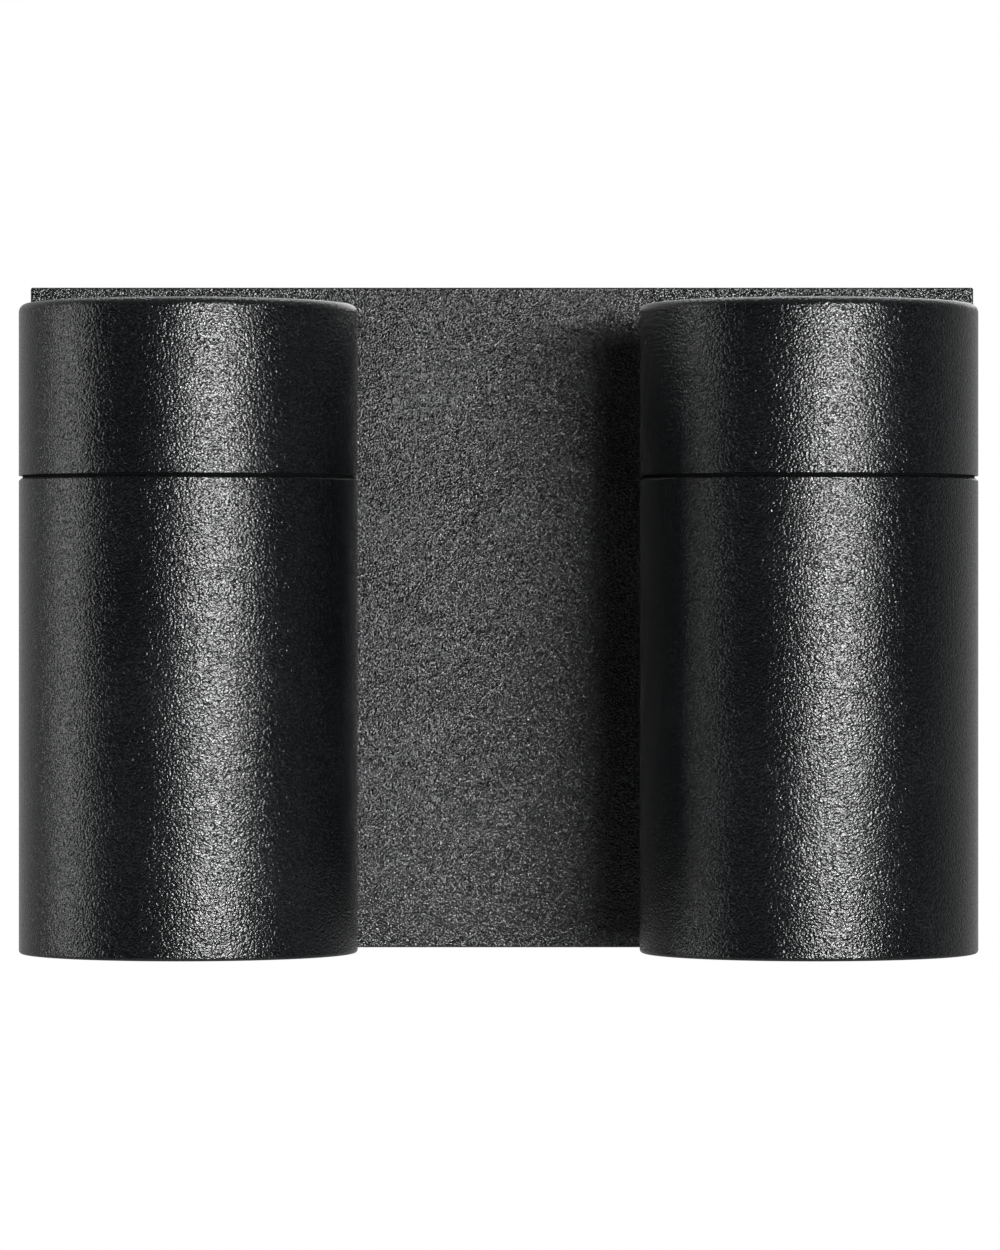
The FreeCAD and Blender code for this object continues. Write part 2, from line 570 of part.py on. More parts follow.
def swivel_base(side):
    """Hollow stem, flange with its stop pin, and the base half of the knuckle, in one casting."""
    centre = V(0, BOX_FRONT - RUNNING_GAP, PIVOT_Z)
    stem = rod(centre, INTO_WALL, STEM_END - centre.y, STEM_D / 2)
    flange = bevelled_rod(centre, OUT_OF_WALL, FLANGE_THICK - RUNNING_GAP, FLANGE_D / 2,
                          KNUCKLE_CHAMFER)
    pin = rod(centre + V(0, 0, STOP_PIN_R), INTO_WALL, STOP_PIN_LENGTH, STOP_PIN_D / 2)
    half = knuckle_half(-side * KNUCKLE_IN, -side * KNUCKLE_OUT, BOX_FRONT - FLANGE_THICK)
    body = stem.fuse([flange, pin, half]).removeSplitter()
    body = body.cut(rod(V(0, STEM_END, PIVOT_Z), OUT_OF_WALL, STEM_END - BOX_FRONT,
                        STEM_BORE_D / 2))
    groove = washer(centre, OUT_OF_WALL, SEAL_CORD_D - RUNNING_GAP,
                    SWIVEL_SEAL_R + SEAL_CORD_D / 2, SWIVEL_SEAL_R - SEAL_CORD_D / 2)
    body = body.cut(groove).cut(knuckle_cavity(-side * KNUCKLE_IN, -side))
    for rank in range(POLES):
        points = stem_to_cavity(side, rank)
        points[-1] += OUT_OF_WALL * CORE_D / 2
        body = body.cut(wire_run(points, CORE_D / 2 + CHANNEL_GAP, TIGHT_BEND))
    axis = V(-side, 0, 0)
    body = body.cut(rod(V(-side * KNUCKLE_IN, PIVOT_Y, PIVOT_Z), axis, KNUCKLE_HALF,
                        TILT_SCREW_D / 2 + THREAD_GAP))
    pocket = V(-side * KNUCKLE_SEAT, PIVOT_Y, PIVOT_Z)
    return body.cut(hexagon(pocket, axis, TILT_NUT_FLATS + 2 * RUNNING_GAP, KNUCKLE_HALF))


def swivel_nut(side):
    base = V(0, BOX_INSIDE + THRUST_WASHER_THICK + WAVE_WASHER_THICK, PIVOT_Z)
    return hex_nut(base, INTO_WALL, STEM_NUT_FLATS, STEM_NUT_THICK, STEM_D + 2 * THREAD_GAP)


def wave_washer(side):
    """The spring washer that keeps the swivel stiff, drawn flat as it is when clamped."""
    base = V(0, BOX_INSIDE + THRUST_WASHER_THICK + THREAD_GAP, PIVOT_Z)
    return washer(base, INTO_WALL, WAVE_WASHER_THICK - THREAD_GAP, WAVE_WASHER_D / 2,
                  STEM_D / 2 + THREAD_GAP)


def swivel_seal(side):
    cord_r = SEAL_CORD_D / 2 - THREAD_GAP
    centre = V(0, BOX_FRONT - THREAD_GAP - cord_r, PIVOT_Z)
    return round_ring(centre, INTO_WALL, SWIVEL_SEAL_R, cord_r)


def tilt_screw(side):
    """Clamps the knuckle; its nut is held in the base half, and the head half turns on it."""
    seat = V(side * (KNUCKLE_SEAT + RUNNING_GAP), PIVOT_Y, PIVOT_Z)
    length = 2 * KNUCKLE_SEAT + RUNNING_GAP + TILT_NUT_THICK
    return socket_screw(seat, V(-side, 0, 0), TILT_SCREW_D, length, TILT_HEAD_D, TILT_HEAD_HIGH)


def tilt_nut(side):
    base = V(-side * KNUCKLE_SEAT, PIVOT_Y, PIVOT_Z)
    return hex_nut(base, V(-side, 0, 0), TILT_NUT_FLATS, TILT_NUT_THICK,
                   TILT_SCREW_D + 2 * THREAD_GAP)


def tilt_washer(side):
    """A plastic friction ring between the halves, outside their wiring space."""
    return washer(V(-side * KNUCKLE_IN, PIVOT_Y, PIVOT_Z), V(side, 0, 0),
                  KNUCKLE_WASHER - RUNNING_GAP, KNUCKLE_R - KNUCKLE_CHAMFER, KNUCKLE_CAVITY_R)


def knuckle_cores(side):
    return Part.makeCompound([wire_run(knuckle_core_points(side, rank), CORE_D / 2, TIGHT_BEND)
                              for rank in range(POLES)])


# ---- head: cap, lampholder and leads --------------------------------------------------------------
def holder_lead_points(side, rank, level):
    """Rank 0 is the upper of the two leads; they nest on the way down to the holder's end."""
    x, turn_y = side * CHANNEL_X, AXIS_Y + 17.5 + 2.3 * rank
    low = HOLDER_TOP - 3.9 - 2.9 * rank
    return [V(x, PIVOT_Y - KNUCKLE_CORE_END, level), V(x, turn_y, level), V(x, turn_y, low),
            V(x, AXIS_Y + 12.0, low)]


def earth_lead_points(side, level):
    return [V(side * CHANNEL_X, PIVOT_Y - KNUCKLE_CORE_END, level),
            V(side * CHANNEL_X, AXIS_Y + 23.6, level), V(side * 9, AXIS_Y + 21.0, level),
            V(side * 13, AXIS_Y + 16.0, HOLDER_PLATE_TOP + 4.0),
            V(side * 13, AXIS_Y + 9.5, HOLDER_PLATE_TOP + 1.8)]


def lead_levels(side):
    """The earth core comes in lowest on the right and highest on the left."""
    if side == RIGHT:
        return CORE_LEVELS[2], CORE_LEVELS[:2]
    return CORE_LEVELS[0], CORE_LEVELS[1:]


def rear_cap(side):
    """Closed cap with its spigot, the head half of the knuckle and two bosses for the holder."""
    edge = JOINT_Z + JOINT_GAP
    spigot_in = SPIGOT_R - SPIGOT_WALL
    cap = turned([(0, HEAD_TOP), (HEAD_R, HEAD_TOP, HEAD_EDGE_R), (HEAD_R, edge),
                  (HEAD_R - JOINT_SHOULDER, edge), (HEAD_R - JOINT_SHOULDER, JOINT_Z + THREAD_GAP),
                  (SPIGOT_R, JOINT_Z + THREAD_GAP), (SPIGOT_R, SPIGOT_BOTTOM),
                  (spigot_in, SPIGOT_BOTTOM), (spigot_in, edge + 1.0),
                  (TUBE_BORE_R, edge + 1.0 + SPIGOT_WALL), (TUBE_BORE_R, HEAD_TOP - HEAD_WALL, 1.0),
                  (0, HEAD_TOP - HEAD_WALL)])
    web_end = AXIS_Y + TUBE_BORE_R + RUNNING_GAP
    cap = cap.fuse(knuckle_half(side * KNUCKLE_IN, side * KNUCKLE_OUT, web_end))
    for x in BOSS_X:
        foot = V(x, AXIS_Y, HOLDER_PLATE_TOP)
        cap = cap.fuse(rod(foot, UP, HEAD_TOP - HEAD_WALL - HOLDER_PLATE_TOP, BOSS_D / 2))
        cap = cap.cut(rod(foot, UP, 10.0, SMALL_SCREW_D / 2))
    cap = cap.removeSplitter()
    seal_z = JOINT_Z - TUBE_SEAL_DROP
    groove_w = SEAL_CORD_D + 2 * RUNNING_GAP
    cap = cap.cut(washer(V(0, AXIS_Y, seal_z - groove_w / 2), UP, groove_w, SPIGOT_R + 1,
                         SPIGOT_R + SLIP_GAP - SEAL_CORD_D))
    keyway = block(-KEYWAY_WIDTH / 2, KEYWAY_WIDTH / 2, AXIS_Y + SPIGOT_R - KEYWAY_DEPTH,
                   AXIS_Y + SPIGOT_R + 1, SPIGOT_BOTTOM, JOINT_Z - GRUB_DROP + KEYWAY_WIDTH / 2)
    cap = cap.cut(keyway).cut(knuckle_cavity(side * KNUCKLE_IN, side))
    for level in CORE_LEVELS:
        channel = rod(V(side * CHANNEL_X, PIVOT_Y - 3, level), OUT_OF_WALL,
                      PIVOT_Y - 3 - (AXIS_Y + TUBE_BORE_R - 1), CORE_D / 2 + CHANNEL_GAP)
        cap = cap.cut(channel)
    axis = V(side, 0, 0)
    cap = cap.cut(rod(V(side * KNUCKLE_IN, PIVOT_Y, PIVOT_Z), axis, KNUCKLE_HALF,
                      TILT_SCREW_D / 2 + RUNNING_GAP))
    return cap.cut(rod(V(side * KNUCKLE_SEAT, PIVOT_Y, PIVOT_Z), axis, KNUCKLE_HALF,
                       TILT_HEAD_D / 2 + 2 * RUNNING_GAP))


def holder_plate(side):
    """A steel strap across the cap that carries the lampholder."""
    reach = SPIGOT_R - SPIGOT_WALL + 1.5
    plate = block(-reach, reach, AXIS_Y - HOLDER_PLATE_WIDTH / 2, AXIS_Y + HOLDER_PLATE_WIDTH / 2,
                  HOLDER_TOP, HOLDER_TOP + HOLDER_PLATE_THICK)
    plate = plate.common(rod(V(0, AXIS_Y, HOLDER_TOP), UP, HOLDER_PLATE_THICK,
                             TUBE_BORE_R - HOLDER_PLATE_CORNER_GAP))
    for x in BOSS_X:
        plate = plate.cut(rod(V(x, AXIS_Y, HOLDER_TOP), UP, HOLDER_PLATE_THICK,
                              SMALL_SCREW_D / 2 + RUNNING_GAP))
    for y in HOLDER_SCREW_Y:
        plate = plate.cut(rod(V(0, y, HOLDER_TOP), UP, HOLDER_PLATE_THICK, SMALL_SCREW_D / 2))
    return plate


def lampholder(side):
    """A ceramic holder with two arc slots for the lamp's pins and two lead entries at its end."""
    straight = (HOLDER_LENGTH - HOLDER_WIDTH) / 2
    body = block(-HOLDER_WIDTH / 2, HOLDER_WIDTH / 2, AXIS_Y - straight, AXIS_Y + straight,
                 LAMP_TOP, HOLDER_TOP)
    for y in (-straight, straight):
        body = body.fuse(rod(V(0, AXIS_Y + y, LAMP_TOP), UP, HOLDER_HEIGHT, HOLDER_WIDTH / 2))
    body = body.removeSplitter()
    face = V(0, AXIS_Y, LAMP_TOP)
    neck_slot, head_slot = PIN_NECK_D + 2 * PIN_SLOT_GAP, PIN_HEAD_D + 2 * PIN_SLOT_GAP
    ledge, deep = PIN_LENGTH - PIN_HEAD_HIGH - PIN_SLOT_GAP, PIN_LENGTH + 1
    for locked in (90, 270):
        start = locked - LAMP_TWIST_DEG
        keyhole = arc_slot(PIN_SPACING / 2, neck_slot, start, LAMP_TWIST_DEG, ledge)
        entry = rod(V(PIN_SPACING / 2, 0, 0), UP, ledge, head_slot / 2)
        entry.rotate(V(), UP, start)
        space = arc_slot(PIN_SPACING / 2, head_slot, start, LAMP_TWIST_DEG, deep - ledge)
        body = body.cut(keyhole.fuse(entry).translated(face))
        body = body.cut(space.translated(face + UP * ledge))
    for y in HOLDER_SCREW_Y:
        foot = V(0, y, LAMP_TOP)
        body = body.cut(rod(foot, UP, HOLDER_HEIGHT, SMALL_SCREW_D / 2 + RUNNING_GAP))
        body = body.cut(rod(foot, UP, HOLDER_SCREW_SUNK, SMALL_SCREW_D + RUNNING_GAP))
    for rank in (0, 1):
        end = holder_lead_points(side, rank, 0)[-1]
        body = body.cut(rod(end, INTO_WALL, HOLDER_LENGTH / 2, CORE_D / 2 + CHANNEL_GAP))
    return body


def holder_screws(side):
    """Two screws hold the strap to the cap's bosses, and two hold the holder to the strap."""
    shaft_d, head_d, head_high = SMALL_SCREW_D - 2 * THREAD_GAP, SMALL_SCREW_D * 1.8, 2.0
    long = HOLDER_HEIGHT - HOLDER_SCREW_SUNK + HOLDER_PLATE_THICK + 1.0
    screws = [slotted_screw(V(x, AXIS_Y, HOLDER_TOP), UP, shaft_d, 10.0, head_d, head_high)
              for x in BOSS_X]
    screws += [slotted_screw(V(0, y, LAMP_TOP + HOLDER_SCREW_SUNK), UP, shaft_d, long, head_d,
                             head_high) for y in HOLDER_SCREW_Y]
    return Part.makeCompound(screws)


def tube_seal(side):
    cord_r = SEAL_CORD_D / 2 - THREAD_GAP
    return round_ring(V(0, AXIS_Y, JOINT_Z - TUBE_SEAL_DROP), UP, TUBE_BORE_R - SEAL_CORD_D / 2,
                      cord_r)


def holder_leads(side):
    levels = lead_levels(side)[1]
    return Part.makeCompound([wire_run(holder_lead_points(side, rank, level), CORE_D / 2)
                              for rank, level in enumerate(levels)])


def earth_lead(side):
    """The head's earth core and its push-on receptacle on the strap."""
    points = earth_lead_points(side, lead_levels(side)[0])
    receptacle = block(side * 10, side * 16, points[-1].y, points[-1].y - 7.5, HOLDER_PLATE_TOP,
                       HOLDER_PLATE_TOP + 3.4)
    return Part.makeCompound([wire_run(points, CORE_D / 2), receptacle])


# ---- tube, glass and ring -------------------------------------------------------------------------
def lamp_tube(side):
    """The long lower part of the head, with the ledge that the glass seats against."""
    ledge_r = LAMP_D / 2 + LEDGE_INNER_GAP
    tube = turned([(TUBE_BORE_R, JOINT_Z), (HEAD_R - TUBE_CHAMFER, JOINT_Z),
                   (HEAD_R, JOINT_Z - TUBE_CHAMFER), (HEAD_R, HEAD_BOTTOM, HEAD_FOOT_R),
                   (TUBE_BORE_R + 0.4, HEAD_BOTTOM), (TUBE_BORE_R, HEAD_BOTTOM + 0.4),
                   (TUBE_BORE_R, GASKET_TOP), (ledge_r, GASKET_TOP), (ledge_r, LEDGE_TOP),
                   (TUBE_BORE_R, LEDGE_TOP + 1.0)])
    grub = rod(V(0, AXIS_Y + SPIGOT_R, JOINT_Z - GRUB_DROP), INTO_WALL, HEAD_R, GRUB_D / 2)
    return tube.cut(grub)


def tube_grub_screw(side):
    """A hexagon-socket set screw whose tip runs in the spigot's keyway."""
    z = JOINT_Z - GRUB_DROP
    tip = AXIS_Y + SPIGOT_R - KEYWAY_DEPTH + RUNNING_GAP
    end = AXIS_Y + HEAD_R - 0.4
    screw = rod(V(0, tip, z), INTO_WALL, end - tip, GRUB_D / 2 - THREAD_GAP)
    return screw.cut(hexagon(V(0, end, z), OUT_OF_WALL, 1.5, 1.6))


def glass_gasket(side):
    return washer(V(0, AXIS_Y, GASKET_TOP), DOWN, GLASS_GASKET_THICK,
                  TUBE_BORE_R - THREAD_GAP, LAMP_D / 2 + LEDGE_INNER_GAP)


def front_glass(side):
    r, c = TUBE_BORE_R - GLASS_SIDE_GAP, 0.5
    low = RING_TOP
    return turned([(0, GLASS_TOP), (r - c, GLASS_TOP), (r, GLASS_TOP - c), (r, low + c),
                   (r - c, low), (0, low)])


def retaining_ring(side):
    """The screwed ring below the glass, with two holes for a pin spanner."""
    outer, inner = TUBE_BORE_R - THREAD_GAP, TUBE_BORE_R - RING_WIDTH
    ring = turned([(inner, RING_TOP), (outer, RING_TOP), (outer, RING_BOTTOM),
                   (inner + 1.0, RING_BOTTOM), (inner, RING_BOTTOM + 1.0)])
    for x in (-1, 1):
        hole = V(x * (outer + inner + 1.0) / 2, AXIS_Y, RING_BOTTOM)
        ring = ring.cut(rod(hole, UP, 2.5, SPANNER_HOLE_D / 2))
    return ring


# ---- lamp -----------------------------------------------------------------------------------------
def lamp_body(side):
    """Reflector-shaped lamp body with a narrow base and a rim around its lens."""
    r, neck = LAMP_D / 2, LAMP_D * 0.2
    shoulder, flare = LAMP_TOP - LAMP_LENGTH * 0.17, LAMP_FRONT + LAMP_LENGTH * 0.2
    return turned([(0, LAMP_TOP), (neck, LAMP_TOP, 0.8), (neck, shoulder + 1.0),
                   (r * 0.56, shoulder, 1.5), (r * 0.72, shoulder - LAMP_LENGTH * 0.22, 18.0),
                   (r, flare, 3.0), (r, LAMP_FRONT, 1.0), (r - 2.5, LAMP_FRONT),
                   (r - 2.5, LAMP_FRONT + 3.0), (0, LAMP_FRONT + 3.0)])


def lamp_lens(side):
    r = LAMP_D / 2 - 2.5 - RUNNING_GAP
    return turned([(0, LAMP_FRONT + 3.0), (r, LAMP_FRONT + 3.0), (r, LAMP_FRONT + 0.8, 0.5),
                   (0, LAMP_FRONT + 0.8)])


def lamp_pins(side):
    pins = []
    for y in (-PIN_SPACING / 2, PIN_SPACING / 2):
        foot = V(0, AXIS_Y + y, LAMP_TOP)
        neck = rod(foot, UP, PIN_LENGTH - PIN_HEAD_HIGH, PIN_NECK_D / 2)
        head = rod(foot + UP * (PIN_LENGTH - PIN_HEAD_HIGH), UP, PIN_HEAD_HIGH, PIN_HEAD_D / 2)
        pins.append(neck.fuse(head).removeSplitter())
    return Part.makeCompound(pins)


# ---- write every node -----------------------------------------------------------------------------
WALL_NODES = {
    "wall_box_cover": wall_box_cover,
    "rear_gasket": rear_gasket,
    "mounting_bracket": mounting_bracket,
    "cover_screws": cover_screws,
    "cable_grommet": cable_grommet,
    "terminal_block": terminal_block,
    "terminal_screws": terminal_screws,
    "terminal_fixing_screws": terminal_fixing_screws,
    "supply_earth_screw": earth_screw,
    "live_cores": lambda: box_cores(-POLE_PITCH, (CORE_LEVELS[2], CORE_LEVELS[0])),
    "neutral_cores": lambda: box_cores(0, (CORE_LEVELS[1], CORE_LEVELS[1])),
    "earth_cores": lambda: box_cores(POLE_PITCH, (CORE_LEVELS[0], CORE_LEVELS[2])),
    "thrust_washers": thrust_washers,
}
HEAD_NODES = {
    "swivel_base": swivel_base,
    "swivel_nut": swivel_nut,
    "wave_washer": wave_washer,
    "swivel_seal": swivel_seal,
    "tilt_screw": tilt_screw,
    "tilt_nut": tilt_nut,
    "tilt_washer": tilt_washer,
    "knuckle_cores": knuckle_cores,
    "rear_cap": rear_cap,
    "holder_plate": holder_plate,
    "lampholder": lampholder,
    "holder_screws": holder_screws,
    "tube_seal": tube_seal,
    "holder_leads": holder_leads,
    "earth_lead": earth_lead,
    "lamp_tube": lamp_tube,
    "tube_grub_screw": tube_grub_screw,
    "glass_gasket": glass_gasket,
    "front_glass": front_glass,
    "retaining_ring": retaining_ring,
    "lamp_body": lamp_body,
    "lamp_lens": lamp_lens,
    "lamp_pins": lamp_pins,
}


def write(name, shape):
    solids = shape.Solids
    for solid in solids:
        if not solid.isValid() or solid.Volume <= 0:
            raise ValueError(f"{name} has a bad solid, volume {solid.Volume:.3f}")
    one = solids[0] if len(solids) == 1 else Part.makeCompound(solids)
    one.exportStep(f"parts/{name}.step")
    print(f"{name}: {len(solids)} solids, {sum(s.Volume for s in solids):.1f} mm3")


os.makedirs("parts", exist_ok=True)
for name, make in WALL_NODES.items():
    write(name, make())
for side, side_name in SIDE_NAMES.items():
    for name, make in HEAD_NODES.items():
        write(f"{side_name}_{name}", make(side).translated(V(side * HEAD_SPACING / 2, 0, 0)))
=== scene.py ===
import math

import bmesh
import bpy
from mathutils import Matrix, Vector


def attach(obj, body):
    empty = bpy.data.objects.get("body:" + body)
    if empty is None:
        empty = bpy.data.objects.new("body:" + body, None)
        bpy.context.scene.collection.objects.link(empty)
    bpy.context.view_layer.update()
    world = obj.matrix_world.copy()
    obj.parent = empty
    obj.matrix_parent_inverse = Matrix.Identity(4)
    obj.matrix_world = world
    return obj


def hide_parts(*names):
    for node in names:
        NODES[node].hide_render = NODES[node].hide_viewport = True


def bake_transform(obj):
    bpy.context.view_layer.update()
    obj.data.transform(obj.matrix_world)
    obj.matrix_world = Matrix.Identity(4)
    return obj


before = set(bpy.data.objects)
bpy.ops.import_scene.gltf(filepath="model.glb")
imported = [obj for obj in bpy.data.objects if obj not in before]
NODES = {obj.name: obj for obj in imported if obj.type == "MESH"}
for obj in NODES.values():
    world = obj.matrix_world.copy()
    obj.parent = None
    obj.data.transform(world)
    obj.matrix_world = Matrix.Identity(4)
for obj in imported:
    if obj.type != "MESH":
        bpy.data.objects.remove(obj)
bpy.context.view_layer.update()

MM = 0.001
SIDES = {"left": -1, "right": 1}


# ---- small helpers ------------------------------------------------------------------------------
def linear(hex_colour):
    """A linear RGBA colour from an sRGB hex string such as 1c1d1e."""
    channels = [int(hex_colour[i:i + 2], 16) / 255 for i in (0, 2, 4)]
    bent = [c / 12.92 if c <= 0.04045 else ((c + 0.055) / 1.055) ** 2.4 for c in channels]
    return (*bent, 1)


def add(tree, kind, settings=None, links=None):
    """Adds a node, sets its properties and inputs, and links sockets into its inputs. The setting
    called stops is a colour ramp's list of (position, hex colour), lowest first."""
    made = tree.nodes.new(kind)
    settings = dict(settings or {})
    for number, (position, colour) in enumerate(settings.pop("stops", ())):
        band = made.color_ramp.elements
        stop = band[number] if number < len(band) else band.new(position)
        stop.position, stop.color = position, linear(colour)
    for key, value in settings.items():
        if isinstance(key, str) and hasattr(made, key):
            setattr(made, key, value)
        else:
            made.inputs[key].default_value = value
    for key, socket in (links or {}).items():
        tree.links.new(socket, made.inputs[key])
    return made


def per_mm(size_mm):
    """The texture scale that gives features of about this size on coordinates in metres."""
    return 1000 / size_mm


# ---- materials ----------------------------------------------------------------------------------
# The part of a noise's range that holds nearly all of its values.
NOISE_SPAN = {"From Min": 0.3, "From Max": 0.7}


def material(name, surface):
    """A material whose shader starts from surface. Returns it, its tree, its shader and the
    coordinates that its patterns lie on."""
    made = bpy.data.materials.new(name)
    made.use_nodes = True
    tree = made.node_tree
    tree.nodes.clear()
    place = add(tree, "ShaderNodeTexCoord").outputs["Object"]
    shader = add(tree, "ShaderNodeBsdfPrincipled", surface)
    add(tree, "ShaderNodeOutputMaterial", None, {"Surface": shader.outputs["BSDF"]})
    return made, tree, shader, place


def powder_coat(name, grain_mm, relief_mm, domed, painted_glint_tone, low_rough, high_rough):
    """Black polyester powder coat on die-cast aluminium, sprayed and baked to a fine textured skin:
    rounded grains that each catch their own glint, so a highlight breaks up into bright specks."""
    made, tree, shader, place = material(name, {"IOR": 1.5})
    drift = add(tree, "ShaderNodeTexNoise", {"Scale": per_mm(grain_mm * 3), "Detail": 1.0},
                {"Vector": place})
    bent = add(tree, "ShaderNodeMix",
               {"data_type": "RGBA", "blend_type": "LINEAR_LIGHT", "Factor": 0.18 * MM},
               {6: place, 7: drift.outputs["Color"]}).outputs[2]
    grains = add(tree, "ShaderNodeTexNoise",
                 {"Scale": per_mm(grain_mm), "Detail": 1.6, "Roughness": 0.55},
                 {"Vector": bent}).outputs["Fac"]
    fine = add(tree, "ShaderNodeTexNoise", {"Scale": per_mm(grain_mm * 0.35), "Detail": 1.0},
               {"Vector": place}).outputs["Fac"]
    cloud = add(tree, "ShaderNodeTexNoise", {"Scale": per_mm(22), "Detail": 3.0},
                {"Vector": place}).outputs["Fac"]
    cells = add(tree, "ShaderNodeTexVoronoi", {"Scale": per_mm(grain_mm)},
                {"Vector": bent}).outputs["Distance"]
    bowl = add(tree, "ShaderNodeMath", {"operation": "MULTIPLY"}, {0: cells, 1: cells})
    height = add(tree, "ShaderNodeMath", {"operation": "MULTIPLY_ADD", 1: -domed},
                 {0: bowl.outputs[0], 2: grains})
    coarse_bump = add(tree, "ShaderNodeBump", {"Strength": 1.0, "Distance": relief_mm * MM},
                      {"Height": height.outputs[0]})
    fine_bump = add(tree, "ShaderNodeBump", {"Strength": 0.35, "Distance": relief_mm * 0.3 * MM},
                    {"Height": fine, "Normal": coarse_bump.outputs["Normal"]})
    tone = add(tree, "ShaderNodeMath", {"operation": "MULTIPLY_ADD", 1: 0.35},
               {0: cloud, 2: grains})
    # Base colour near black; the top stop, painted_glint_tone, paints the highest grains lighter:
    # painted glints.
    ground = add(tree, "ShaderNodeValToRGB",
                 {"stops": ((0.45, "050607"), (0.68, "0a0c0e"), (0.9, painted_glint_tone))},
                 {"Fac": tone.outputs[0]})
    gloss = add(tree, "ShaderNodeMapRange",
                {**NOISE_SPAN, "To Min": high_rough, "To Max": low_rough}, {"Value": grains})
    tree.links.new(ground.outputs["Color"], shader.inputs["Base Color"])
    tree.links.new(gloss.outputs["Result"], shader.inputs["Roughness"])
    tree.links.new(fine_bump.outputs["Normal"], shader.inputs["Normal"])
    return made


def plated(name, tones, rough, spangle_mm):
    """Plated or bare metal: a thin bright skin with soft clouding and fine rolling lines."""
    made, tree, shader, place = material(name, {"Metallic": 1.0})
    cloud = add(tree, "ShaderNodeTexNoise", {"Scale": per_mm(spangle_mm), "Detail": 3.0},
                {"Vector": place})
    squeezed = add(tree, "ShaderNodeMapping", {"Scale": (0.04, 1.0, 1.0)}, {"Vector": place})
    lines = add(tree, "ShaderNodeTexNoise", {"Scale": per_mm(0.25), "Detail": 2.0},
                {"Vector": squeezed.outputs["Vector"]})
    bump = add(tree, "ShaderNodeBump", {"Strength": 0.25, "Distance": 0.01 * MM},
               {"Height": lines.outputs["Fac"]})
    colour = add(tree, "ShaderNodeValToRGB", {"stops": ((0.35, tones[0]), (0.65, tones[1]))},
                 {"Fac": cloud.outputs["Fac"]})
    gloss = add(tree, "ShaderNodeMapRange", {**NOISE_SPAN, "To Min": rough[0], "To Max": rough[1]},
                {"Value": lines.outputs["Fac"]})
    tree.links.new(colour.outputs["Color"], shader.inputs["Base Color"])
    tree.links.new(gloss.outputs["Result"], shader.inputs["Roughness"])
    tree.links.new(bump.outputs["Normal"], shader.inputs["Normal"])
    return made


def moulded(name, tones, rough, grain_mm, relief_mm, surface=None):
    """Moulded or extruded plastic, rubber or ceramic: nearly even colour and a soft skin grain."""
    made, tree, shader, place = material(name, {"IOR": 1.5, **(surface or {})})
    cloud = add(tree, "ShaderNodeTexNoise", {"Scale": per_mm(6), "Detail": 4.0},
                {"Vector": place})
    grain = add(tree, "ShaderNodeTexNoise", {"Scale": per_mm(grain_mm), "Detail": 2.0},
                {"Vector": place})
    bump = add(tree, "ShaderNodeBump", {"Strength": 0.6, "Distance": relief_mm * MM},
               {"Height": grain.outputs["Fac"]})
    colour = add(tree, "ShaderNodeValToRGB", {"stops": ((0.3, tones[0]), (0.7, tones[1]))},
                 {"Fac": cloud.outputs["Fac"]})
    gloss = add(tree, "ShaderNodeMapRange", {**NOISE_SPAN, "To Min": rough[0], "To Max": rough[1]},
                {"Value": grain.outputs["Fac"]})
    tree.links.new(colour.outputs["Color"], shader.inputs["Base Color"])
    tree.links.new(gloss.outputs["Result"], shader.inputs["Roughness"])
    tree.links.new(bump.outputs["Normal"], shader.inputs["Normal"])
    return made


# Sprayed powder on the cast heads: near black, with long highlights broken into bright specks; its
# highest grains also carry faintly painted glints.
HEAD_COAT = powder_coat("textured_black_powder_coat_on_heads", grain_mm=0.44, relief_mm=0.106,
                        domed=0.65, painted_glint_tone="1f2122", low_rough=0.13, high_rough=0.25)
# The same powder laid thicker on the flat cover: rounder grains, the highest painted lighter as
# glints all over the face.
BOX_COAT = powder_coat("textured_black_powder_coat_on_wall_box", grain_mm=0.37, relief_mm=0.087,
                       domed=1.25, painted_glint_tone="3a3c3d", low_rough=0.12, high_rough=0.21)
# Electroplated zinc on pressed sheet: bluish, bright and softly clouded, with faint rolling lines.
ZINC = plated("bright_zinc_plated_steel", ("bcc1c5", "cbcfd2"), (0.24, 0.36), 4)
# Chemically blackened screws: almost as dark as the coat, but with a dull gleam of metal.
BLACK_STEEL = plated("black_oxide_stainless_screw_steel", ("1a1a1b", "262627"), (0.28, 0.42), 3)
# Rolled and hardened strip, left bare: warm grey with a broken sheen.
SPRING_STEEL = plated("bare_spring_steel", ("8d8a86", "a7a39e"), (0.25, 0.4), 4)
# Turned brass under nickel: a smooth, pale and slightly yellow shine.
NICKEL_BRASS = plated("nickel_plated_brass", ("bdb6a8", "d2ccc0"), (0.18, 0.3), 3)
# Foam cut from sheet: open pits at the surface swallow the light, so it looks soot black.
FOAM = moulded("closed_cell_foam_rubber", ("121212", "1d1d1c"), (0.82, 0.98), 0.5, 0.25)
# Pressed in a polished mould: dark rubber with a broad, soft sheen.
EPDM = moulded("moulded_black_epdm_rubber", ("151515", "1e1e1e"), (0.5, 0.68), 0.4, 0.02)
# The thin ring in the joint line, almost black and without sheen: painted shade, a dark piece set
# where the open joint lies in shadow.
JOINT_PAINTED_SHADE = moulded("painted_joint_shade_rubber", ("050505", "090909"), (0.85, 0.95), 0.4, 0.02,
                       {"Specular IOR Level": 0.1})
# Injection moulded without dye: milky white with light soaking a little way in.
POLYAMIDE = moulded("moulded_natural_polyamide", ("d9d5c8", "e9e6dc"), (0.35, 0.5), 0.5, 0.01,
                    {"Subsurface Weight": 0.08, "Subsurface Scale": 2 * MM})
# Extruded over copper: even colour with one long soft highlight down each core.
BROWN_PVC = moulded("extruded_brown_insulation", ("4a2411", "5a2e18"), (0.32, 0.45), 0.6, 0.008)
BLUE_PVC = moulded("extruded_blue_insulation", ("1c4f9c", "2660b0"), (0.32, 0.45), 0.6, 0.008)
